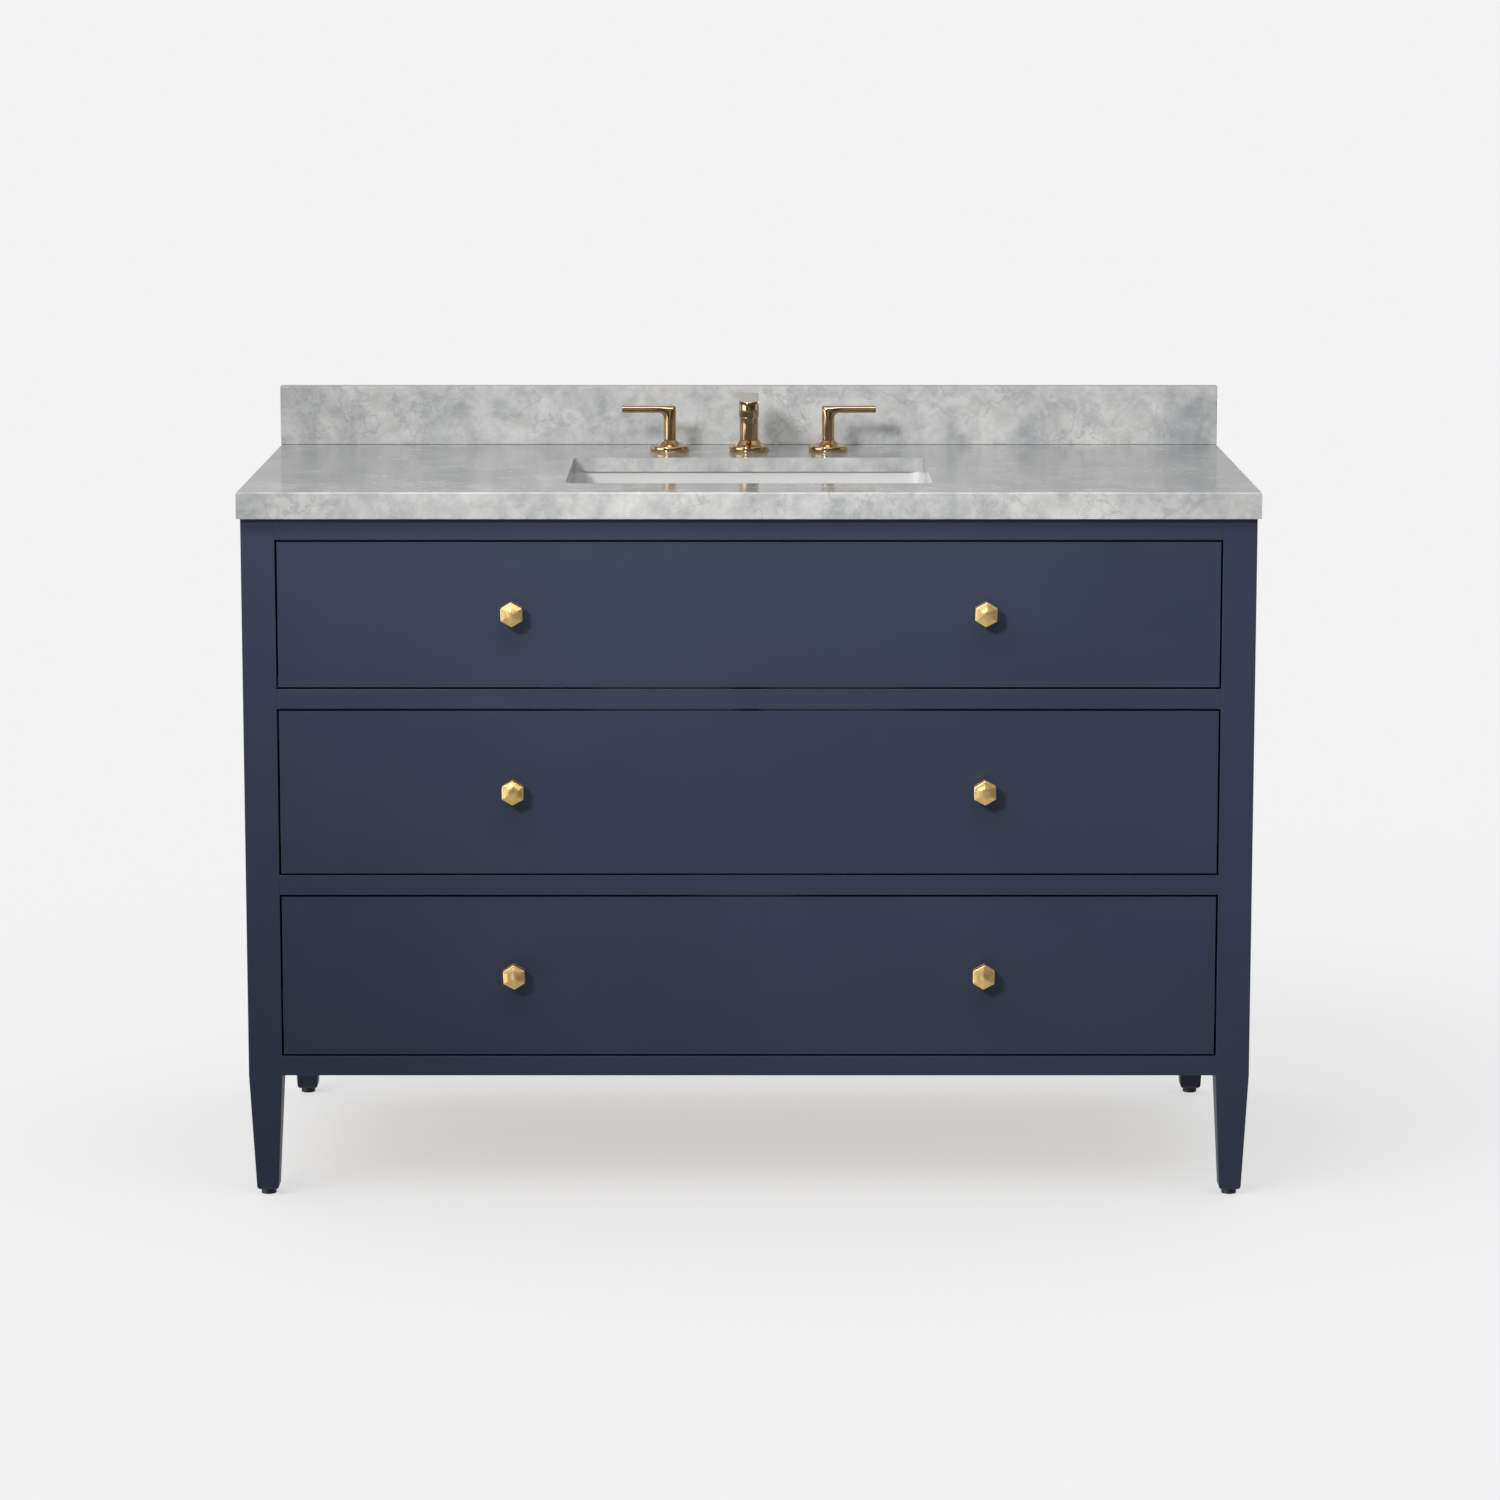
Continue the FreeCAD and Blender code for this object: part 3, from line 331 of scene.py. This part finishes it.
ALONG_X = 0
ALONG_Y = 1
CARCASS_TONES = ((0.50, 0.35, 0.21), (0.40, 0.26, 0.14))
DRAWER_TONES = ((0.62, 0.47, 0.30), (0.52, 0.37, 0.21))
PLYWOOD_TONES = ((0.55, 0.41, 0.26), (0.46, 0.32, 0.18))

MATERIALS = {
    "navy_paint": navy_paint(),
    "marble": marble("marble", (0.0, 0.0, 0.0), 1.0),
    "white_ceramic": white_ceramic(),
    "satin_brass": satin_brass(),
    "polished_bronze": polished_bronze(),
    "raw_brass": raw_brass(),
    "carcass_timber": timber("carcass_timber", *CARCASS_TONES, ALONG_X, 0.55),
    "drawer_timber": timber("drawer_timber", *DRAWER_TONES, ALONG_Y, 0.45),
    "plywood": timber("plywood", *PLYWOOD_TONES, ALONG_X, 0.55),
    "zinc_steel": zinc_steel(),
    "black_plastic": black_plastic(),
}
BACKSPLASH_MARBLE = marble("backsplash_marble", (0.37, 1.4, 0.21), 0.96)
CROSSWISE_TIMBER = timber("crosswise_timber", *DRAWER_TONES, ALONG_X, 0.45)
LENGTHWISE_TIMBER = timber("lengthwise_timber", *CARCASS_TONES, ALONG_Y, 0.55)


def dress(obj, material):
    """Give an object one material on its every slot."""
    if not obj.data.materials:
        obj.data.materials.append(material)
    for number in range(len(obj.data.materials)):
        obj.data.materials[number] = material


for part in RECORD["subparts"]:
    dress(OBJECTS[part["node"]], MATERIALS[part["material_slot"]])
dress(OBJECTS["backsplash"], BACKSPLASH_MARBLE)
dress(OBJECTS["slide_cleats"], LENGTHWISE_TIMBER)
for board in ("top_drawer_backs", "middle_drawer_backs", "bottom_drawer_back"):
    dress(OBJECTS[board], CROSSWISE_TIMBER)


# ---------------------------------------------------------------- eased edges

PAINTED_EDGE = 0.5 * MM
BOARD_EDGE = 0.6 * MM
STONE_EDGE = 1.0 * MM
WELD_REACH = 0.01 * MM


def soften(node, width):
    """A fine eased edge on a CAD board, for the light to catch."""
    obj = OBJECTS[node]
    weld = obj.modifiers.new("weld", "WELD")
    weld.merge_threshold = WELD_REACH
    flatten = obj.modifiers.new("flatten", "DECIMATE")
    flatten.decimate_type = "DISSOLVE"
    flatten.angle_limit = math.radians(1.0)
    bevel = obj.modifiers.new("ease", "BEVEL")
    bevel.width = width
    bevel.segments = 2
    bevel.limit_method = "ANGLE"
    bevel.angle_limit = math.radians(40)
    obj.modifiers.new("weighted", "WEIGHTED_NORMAL")


for part in RECORD["subparts"]:
    if part["material_slot"] == "navy_paint":
        soften(part["node"], PAINTED_EDGE)
    elif part["material_slot"] in ("carcass_timber", "plywood", "drawer_timber"):
        soften(part["node"], BOARD_EDGE)
soften("backsplash", STONE_EDGE)


# ---------------------------------------------------------------- mesh tools

UP = Vector((0, 0, 1))
NEARLY_ZERO = 0.0001
LATHE_COUNT = 96


def skin(name, shells, sharp_angle=40.0):
    """One mesh object over several lists of rings; a shell is closed by end faces or by its own loop."""
    points = []
    faces = []
    for rings, looped in shells:
        start = len(points)
        count = len(rings[0])
        for ring in rings:
            points.extend(ring)
        steps = len(rings) if looped else len(rings) - 1
        for step in range(steps):
            low = start + step * count
            high = start + (step + 1) % len(rings) * count
            for item in range(count):
                after = (item + 1) % count
                faces.append((low + item, low + after, high + after, high + item))
        if not looped:
            last = start + (len(rings) - 1) * count
            faces.append(tuple(start + item for item in reversed(range(count))))
            faces.append(tuple(last + item for item in range(count)))
    mesh = bpy.data.meshes.new(name)
    mesh.from_pydata(points, [], faces)
    shaped = bmesh.new()
    shaped.from_mesh(mesh)
    bmesh.ops.recalc_face_normals(shaped, faces=shaped.faces)
    shaped.to_mesh(mesh)
    shaped.free()
    mesh.shade_smooth()
    mesh.set_sharp_from_angle(angle=math.radians(sharp_angle))
    obj = bpy.data.objects.new(name, mesh)
    bpy.context.collection.objects.link(obj)
    return obj


def install(obj, body, node, slot):
    """Let a new piece stand for a CAD node, ride on its body and take its finish."""
    dress(obj, MATERIALS[slot])
    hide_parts(node)
    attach(obj, body)


def lathed(centre, floor_height, profile):
    """A shell turned about an upright axis; the profile is a closed line of radius and height in mm."""
    turns = [2 * math.pi * item / LATHE_COUNT for item in range(LATHE_COUNT)]
    rings = []
    for radius, height in profile:
        far = radius * MM
        level = floor_height + height * MM
        rings.append([
            (centre[0] + far * math.cos(turn), centre[1] + far * math.sin(turn), level) for turn in turns])
    return rings, True


# ---------------------------------------------------------------- faucet (lengths in mm)

COUNTER_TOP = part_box("countertop")[1][2]
RING_COUNT = 56

ROSE_RIM = [(24.0, 0.0), (24.7, 0.15), (25.0, 0.6), (25.0, 6.6), (24.8, 7.2), (24.2, 7.6)]
ROSE_CONE = [(0.93, 8.0), (0.78, 8.6), (0.58, 9.6), (0.40, 10.9), (0.24, 12.4), (0.11, 13.8), (0.03, 14.8)]
ROSE_HOLLOW = [(21.5, 3.0), (21.5, 0.0)]
ROSE_LIP = 1.2
ROSE_RADIUS = 25.0
ROSE_TOP = 15.3

HANDLE_NECK = 8.3
HANDLE_COLUMN = 8.0
STEM_RADIUS = 4.0
STEM_EDGE = 0.4
LEVER_THICK = 9.0
LEVER_HALF_WIDTH = 6.0
LEVER_FILLET = 6.5
LEVER_NOSE = 0.8
NOSE_DROP = 0.9
NOSE_TAPER = 0.08

SPOUT_NECK = 12.3
SPOUT_COLUMN = 12.0
SPOUT_ARM = 12.5
SPOUT_THICK = 19.5
SPOUT_REACH = 120.0
SPOUT_ROUNDING = [(1.6, 0.0), (0.8, 0.0), (0.25, 0.25), (0.0, 0.8)]

ELLIPSE = 2
LEVER_SQUARENESS = 3.6
ELBOW_SHARPNESS = 16
COLUMN_STEPS = 6
ELBOW_STEPS = 28
LEVER_STEPS = 5
NOSE_STEPS = 8


def node_centre(node):
    """The middle of a node's box, seen from above."""
    low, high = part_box(node)
    return (low[0] + high[0]) / 2, (low[1] + high[1]) / 2


def squared_ring(origin, across, upward, half_across, half_up, power):
    """A ring between an ellipse (power 2) and a rectangle with rounded corners (higher powers)."""
    ring = []
    for item in range(RING_COUNT):
        turn = 2 * math.pi * item / RING_COUNT
        side = math.copysign(abs(math.cos(turn)) ** (2 / power), math.cos(turn))
        rise = math.copysign(abs(math.sin(turn)) ** (2 / power), math.sin(turn))
        ring.append(tuple(origin + across * half_across * side + upward * half_up * rise))
    return ring


def lever_rings(axis, outward, foot, top, reach):
    """One handle: stem and round column, a square-shouldered elbow, and a flat bar with a rounded tip."""
    radius = HANDLE_COLUMN * MM
    stem = STEM_RADIUS * MM
    edge = STEM_EDGE * MM
    fillet = LEVER_FILLET * MM
    thick = LEVER_THICK * MM
    half_width = LEVER_HALF_WIDTH * MM
    nose = LEVER_NOSE * MM
    rose_top = COUNTER_TOP + ROSE_TOP * MM
    column_foot = rose_top + edge
    low = top - thick
    across = UP.cross(outward)
    base = Vector((axis[0], axis[1], 0))
    rings = []

    def level_ring(size, height):
        rings.append(squared_ring(base + UP * height, across, outward, size, size, ELLIPSE))

    def bar_ring(distance, height, half_across, half_up):
        middle = base + outward * distance + UP * height
        rings.append(squared_ring(middle, across, -UP, half_across, half_up, LEVER_SQUARENESS))

    level_ring(stem - edge, foot)
    level_ring(stem, foot + edge)
    level_ring(stem, rose_top)
    level_ring(radius - edge, rose_top)
    for step in range(COLUMN_STEPS):
        level_ring(radius, column_foot + (low - fillet - column_foot) * step / COLUMN_STEPS)

    pivot = base + outward * (radius + fillet) + UP * (low - fillet)
    for step in range(ELBOW_STEPS + 1):
        share = step / ELBOW_STEPS
        turn = math.pi / 2 * share
        to_side = (2 * radius + fillet) / max(math.cos(turn), NEARLY_ZERO)
        to_top = (thick + fillet) / max(math.sin(turn), NEARLY_ZERO)
        outer = (to_side ** -ELBOW_SHARPNESS + to_top ** -ELBOW_SHARPNESS) ** (-1 / ELBOW_SHARPNESS)
        spoke = outward * -math.cos(turn) + UP * math.sin(turn)
        middle = pivot + spoke * (fillet + outer) / 2
        half_across = radius + (half_width - radius) * share
        power = ELLIPSE + (LEVER_SQUARENESS - ELLIPSE) * share
        rings.append(squared_ring(middle, across, -spoke, half_across, (outer - fillet) / 2, power))

    start = radius + fillet
    for step in range(1, LEVER_STEPS + 1):
        bar_ring(start + (reach - nose - start) * step / LEVER_STEPS, (top + low) / 2, half_width, thick / 2)
    for step in range(1, NOSE_STEPS + 1):
        turn = math.pi / 2 * step / NOSE_STEPS
        drop = nose * (1 - math.cos(turn)) * NOSE_DROP
        distance = reach - nose + nose * math.sin(turn)
        bar_ring(distance, (top - drop + low) / 2, half_width - NOSE_TAPER * drop, (thick - drop) / 2)
    return rings


def escutcheon_profile(neck):
    """Outer and inner line of a flared rose: upright rim, shallow cone, waist under the column."""
    shoulder = ROSE_RIM[-1][0]
    cone = [(neck + (shoulder - neck) * share, height) for share, height in ROSE_CONE]
    bore = neck - ROSE_LIP
    lip = [(neck, 15.1), (neck - 0.5, 15.2), (bore, 14.9), (bore, 6.0)]
    return ROSE_RIM + cone + lip + ROSE_HOLLOW


def plan_ring(centre, front, radius, inset, height):
    """A level ring with a half circle at the back, straight sides, and a half circle front mm forward."""
    far = (radius - inset) * MM
    ring = []
    for item in range(RING_COUNT):
        turn = 2 * math.pi * (item + 0.5) / RING_COUNT
        forward = front * MM if math.sin(turn) < 0 else 0.0
        ring.append((centre[0] + far * math.cos(turn), centre[1] + far * math.sin(turn) - forward, height))
    return ring


def spout_rings(centre, foot, top):
    """Round column, then a thick flat-topped arm whose end is round when seen from above."""
    under = top - SPOUT_THICK * MM
    column = [
        (0.5, foot),
        (0.0, foot + 0.5 * MM),
        (0.0, (foot + under) / 2),
        (0.0, under - 0.4 * MM),
        (-0.2, under),
    ]
    arm = [(inset, under + rise * MM) for inset, rise in SPOUT_ROUNDING]
    arm.append((0.0, (under + top) / 2))
    arm.extend((inset, top - drop * MM) for inset, drop in reversed(SPOUT_ROUNDING))
    rings = [plan_ring(centre, 0, SPOUT_COLUMN, inset, height) for inset, height in column]
    reach = SPOUT_REACH - SPOUT_ARM
    rings.extend(plan_ring(centre, reach, SPOUT_ARM, inset, height) for inset, height in arm)
    return rings


def faucet():
    """Widespread faucet: two lever handles and a flat-topped spout on flared roses."""
    spout_at = node_centre("spout_escutcheon")
    low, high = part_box("handle_escutcheons")
    handle_y = (low[1] + high[1]) / 2
    left_at = (low[0] + ROSE_RADIUS * MM, handle_y)
    right_at = (high[0] - ROSE_RADIUS * MM, handle_y)
    roses = skin("handle_escutcheon_shells", [
        lathed(centre, COUNTER_TOP, escutcheon_profile(HANDLE_NECK)) for centre in (left_at, right_at)])
    install(roses, "cabinet", "handle_escutcheons", "polished_bronze")
    rose = skin("spout_escutcheon_shell", [lathed(spout_at, COUNTER_TOP, escutcheon_profile(SPOUT_NECK))])
    install(rose, "cabinet", "spout_escutcheon", "polished_bronze")

    for side, centre, direction in (("left", left_at, -1), ("right", right_at, 1)):
        low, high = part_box(f"{side}_handle")
        tip = low[0] if direction < 0 else high[0]
        rings = lever_rings(centre, Vector((direction, 0, 0)), low[2], high[2], abs(tip - centre[0]))
        lever = skin(f"{side}_lever_handle", [(rings, False)])
        install(lever, f"{side}_handle", f"{side}_handle", "polished_bronze")

    low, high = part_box("spout")
    spout = skin("spout_casting", [(spout_rings(spout_at, low[2], high[2]), False)])
    install(spout, "cabinet", "spout", "polished_bronze")


faucet()


# ---------------------------------------------------------------- knobs (lengths in mm)

KNOB_FLATS = 26.0
KNOB_HEAD = 15.0
KNOB_CORNER = 1.4
FLANGE = [(8.3, 0.0), (8.3, 0.9), (7.6, 1.5), (6.9, 2.2), (6.5, 3.6)]
NECK = [(6.5, -2.4), (6.9, -1.2), (7.9, -0.4), (9.4, 0.0)]
BACK_EDGE = [(0.9, 1.0, 0.0), (0.3, 1.3, 0.3), (0.0, KNOB_CORNER, 0.9)]
FRONT_EDGE = [(0.0, KNOB_CORNER, -1.1), (0.25, 1.3, -0.5), (0.7, 1.2, -0.15), (1.1, 1.1, 0.0)]
FACE_INSET = 1.3
FACE_CORNER = 1.0
FACE_RADIUS = 11.7
FACE_SHARES = (1.0, 0.93, 0.85, 0.77, 0.69, 0.61, 0.53, 0.45, 0.37, 0.29, 0.21, 0.13, 0.05)
FACE_ROUNDING = 0.7
FACE_DOME = 2.0
FACE_RIPPLE = 0.35
FACE_WAVE = 12.0
KNOB_SHARP_ANGLE = 32.0

KNOB_GRAINS = {"top": (0.5, 2.2), "middle": (-0.6, 1.9), "bottom": (0.15, 0.35)}
KNOB_SPINS = {"top": (1.5, -2.5), "middle": (-1.0, 2.0), "bottom": (2.5, -1.5)}


def hexagon(across, corner):
    """A hexagon with a corner upward and rounded corners, as points of x and z."""
    points = []
    corner_far = across / math.sqrt(3)
    centre_far = corner_far - corner * 2 / math.sqrt(3)
    for number in range(6):
        middle = math.radians(90 + 60 * number)
        centre = (centre_far * math.cos(middle), centre_far * math.sin(middle))
        for step in range(7):
            turn = middle + math.radians(-30 + 10 * step)
            points.append((centre[0] + corner * math.cos(turn), centre[1] + corner * math.sin(turn)))
    return points


def knob_rings(origin, reach, spin, grain):
    """Rings from the drawer front out along the stem, round the head and in over its cast, domed face."""
    turns = [math.atan2(z, x) for x, z in hexagon(KNOB_FLATS, KNOB_CORNER)]
    neck = reach - KNOB_HEAD
    rim = reach - FACE_DOME - FACE_RIPPLE
    phase = grain * 3
    rings = []

    def add(points, depths):
        ring = []
        for (x, z), depth in zip(points, depths):
            turned_x = x * math.cos(spin) - z * math.sin(spin)
            turned_z = x * math.sin(spin) + z * math.cos(spin)
            ring.append((origin[0] + turned_x * MM, origin[1] - depth * MM, origin[2] + turned_z * MM))
        rings.append(ring)

    def flat(points, depth):
        add(points, [depth] * len(points))

    for start, outline in ((0.0, FLANGE), (neck, NECK)):
        for radius, depth in outline:
            flat([(radius * math.cos(turn), radius * math.sin(turn)) for turn in turns], start + depth)
    for start, outline in ((neck, BACK_EDGE), (rim, FRONT_EDGE)):
        for inset, corner, depth in outline:
            flat(hexagon(KNOB_FLATS - 2 * inset, corner), start + depth)

    face = hexagon(KNOB_FLATS - 2 * FACE_INSET, FACE_CORNER)
    for share in FACE_SHARES:
        roundness = (1 - share) ** FACE_ROUNDING
        far = FACE_RADIUS * share
        points = []
        depths = []
        for (x, z), turn in zip(face, turns):
            x = x * share * (1 - roundness) + far * math.cos(turn) * roundness
            z = z * share * (1 - roundness) + far * math.sin(turn) * roundness
            along = x * math.cos(grain) + z * math.sin(grain)
            ripple = FACE_RIPPLE * math.sin(along * 2 * math.pi / FACE_WAVE + phase)
            points.append((x, z))
            depths.append(rim + (FACE_DOME + ripple) * (1 - share ** 2))
        add(points, depths)
    return rings


def knobs():
    """Six hexagonal knobs, each turned and rippled a little differently, as cast and brushed."""
    for level in ("top", "middle", "bottom"):
        low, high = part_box(f"{level}_drawer_knobs")
        half_width = KNOB_FLATS / 2 * MM
        middle_z = (low[2] + high[2]) / 2
        reach = (high[1] - low[1]) / MM
        shells = []
        for column, x in enumerate((low[0] + half_width, high[0] - half_width)):
            spin = math.radians(KNOB_SPINS[level][column])
            rings = knob_rings((x, high[1], middle_z), reach, spin, KNOB_GRAINS[level][column])
            shells.append((rings, False))
        piece = skin(f"{level}_drawer_hex_knobs", shells, KNOB_SHARP_ANGLE)
        install(piece, f"{level}_drawer", f"{level}_drawer_knobs", "satin_brass")


knobs()


# ---------------------------------------------------------------- studio (lengths in metres)

BACKGROUND = 0.879
AMBIENT = 0.22
FLOOR_HALF = 150.0
FLOOR_GLOW = 0.56
FLOOR_DIFFUSE = 0.47

ROOM_BY_HEIGHT = [
    (0.0, 0.70), (0.25, 0.50), (0.38, 0.20), (0.46, 0.08), (0.58, 0.07), (0.75, 0.35), (1.0, 0.80)]
WALL_FROM = (0.35, 0.65)
WALL = (0.36, 0.36, 0.36)
BOX_STRENGTH = 4.0
BOXES_BY_BEARING = [
    (-84, 0.06), (-74, 0.9), (-42, 0.9), (-34, 0.0),
    (-9, 0.0), (-3, 0.08), (4, 0.08), (9, 0.0),
    (70, 0.0), (84, 0.16), (112, 0.16), (126, 0.05)]
BOXES_BY_HEIGHT = [(0.26, 0.0), (0.36, 1.0), (0.558, 1.0), (0.575, 0.0)]


def studio_floor():
    """A wide pale floor, part of its brightness its own, so that shadows on it stay soft and light."""
    mesh = bpy.data.meshes.new("studio_floor")
    half = FLOOR_HALF
    corners = [(-half, -half, 0), (half, -half, 0), (half, half, 0), (-half, half, 0)]
    mesh.from_pydata(corners, [], [(0, 1, 2, 3)])
    floor = bpy.data.objects.new("studio_floor", mesh)
    bpy.context.collection.objects.link(floor)
    graph = MaterialGraph("studio_floor", Roughness=0.9, Specular_IOR_Level=0.0)
    graph.colour((FLOOR_DIFFUSE, FLOOR_DIFFUSE, FLOOR_DIFFUSE, 1))
    seen = graph.add("ShaderNodeLightPath").outputs["Is Camera Ray"]
    graph.shader.inputs["Emission Color"].default_value = (1, 1, 1, 1)
    graph.feed(graph.shader, "Emission Strength", graph.math("MULTIPLY", seen, FLOOR_GLOW))
    mesh.materials.append(graph.material)
    floor.visible_glossy = False
    return floor


def studio_world():
    """White to the camera, an even glow on matt surfaces, and a room of its own in reflections.

    The room is darkest near eye level, with a plain wall behind the object. From well below eye level to
    just above it stand a strong soft box to the front left, a faint strip in front and a weak box to the
    right. Heights run from 0 straight down to 1 straight up. Bearings are degrees from the front, with
    the right positive.
    """
    world = bpy.data.worlds.new("studio")
    bpy.context.scene.world = world
    world.use_nodes = True
    graph = NodeGraph(world.node_tree)

    def background(colour, strength=1.0):
        node = graph.add("ShaderNodeBackground")
        graph.feed(node, "Color", colour)
        graph.feed(node, "Strength", strength)
        return node.outputs[0]

    def choose(factor, first, second):
        node = graph.add("ShaderNodeMixShader")
        for socket, value in enumerate((factor, first, second)):
            graph.link(value, node.inputs[socket])
        return node.outputs[0]

    x, y, z = graph.split(graph.add("ShaderNodeTexCoord").outputs["Generated"])
    height = graph.remap(z, source=(-1.0, 1.0))
    open_room = graph.ramp(height, ROOM_BY_HEIGHT, "LINEAR")
    room = graph.blend(graph.remap(y, source=WALL_FROM), open_room, WALL)

    bearing = graph.math("ARCTAN2", x, graph.math("MULTIPLY", y, -1.0))
    turn = graph.remap(bearing, source=(-math.pi, math.pi))
    stops = [(0.5 + degrees / 360, value) for degrees, value in BOXES_BY_BEARING]
    around = graph.ramp(turn, stops, "LINEAR")
    boxes = graph.blend(1.0, around, graph.ramp(height, BOXES_BY_HEIGHT, "LINEAR"), "MULTIPLY")

    reflected = graph.add("ShaderNodeAddShader")
    graph.link(background(room), reflected.inputs[0])
    graph.link(background(boxes, BOX_STRENGTH), reflected.inputs[1])
    path = graph.add("ShaderNodeLightPath")
    ambient = background((AMBIENT, AMBIENT, AMBIENT, 1))
    lighting = choose(path.outputs["Is Glossy Ray"], ambient, reflected.outputs[0])
    white = background((BACKGROUND, BACKGROUND, BACKGROUND, 1))
    surface = choose(path.outputs["Is Camera Ray"], lighting, white)
    graph.link(surface, graph.add("ShaderNodeOutputWorld").inputs["Surface"])


def add_lamp(name, kind, location, aim, floor, state, **settings):
    """Hang a lamp out of the camera's sight, to light the floor only (INCLUDE) or all but it (EXCLUDE)."""
    data = bpy.data.lights.new(name, kind)
    for setting, value in settings.items():
        setattr(data, setting, value)
    lamp = bpy.data.objects.new(name, data)
    bpy.context.collection.objects.link(lamp)
    lamp.location = location
    lamp.rotation_euler = (Vector(aim) - Vector(location)).to_track_quat("-Z", "Y").to_euler()
    lamp.visible_camera = False
    receivers = bpy.data.collections.new(f"{name}_receivers")
    receivers.objects.link(floor)
    lamp.light_linking.receiver_collection = receivers
    receivers.collection_objects[0].light_linking.link_state = state


def studio_light(floor):
    """A soft sun and sky for the floor; a key, a low rear fill and an overhead box for the object."""
    add_lamp("floor_sun", "SUN", (-2.2, -2.6, 3.0), (0, 0, 0), floor, "INCLUDE",
             energy=0.52, angle=math.radians(40))
    add_lamp("floor_sky", "SUN", (-0.5, -0.5, 3.0), (0, 0, 0), floor, "INCLUDE",
             energy=1.24, angle=math.radians(112))
    add_lamp("key", "SPOT", (-1.9, -4.66, 2.95), (0.22, -0.26, 0.98), floor, "EXCLUDE",
             energy=800.0, shadow_soft_size=0.38, spot_size=math.radians(28), spot_blend=1.0)
    add_lamp("rear_fill", "AREA", (1.9, 3.3, 0.62), (0.1, 0.2, 0.45), floor, "EXCLUDE",
             energy=34.0, size=1.2)
    add_lamp("overhead_box", "AREA", (-0.35, -0.95, 1.85), (-0.15, -0.1, 0.75), floor, "EXCLUDE",
             energy=20.0, shape="RECTANGLE", size=2.4, size_y=0.6)


def studio_camera():
    """A long lens from in front, looking slightly down."""
    data = bpy.data.cameras.new("camera")
    data.sensor_width = 36.0
    data.lens = 110.65
    data.shift_y = -0.08
    data.clip_end = 400.0
    camera = bpy.data.objects.new("camera", data)
    bpy.context.collection.objects.link(camera)
    camera.location = (0.0013, -5.7093, 1.4964)
    camera.rotation_euler = (math.radians(90 - 8.347), 0, 0)
    bpy.context.scene.camera = camera


studio_light(studio_floor())
studio_world()
studio_camera()
bpy.context.scene.view_settings.view_transform = "Standard"
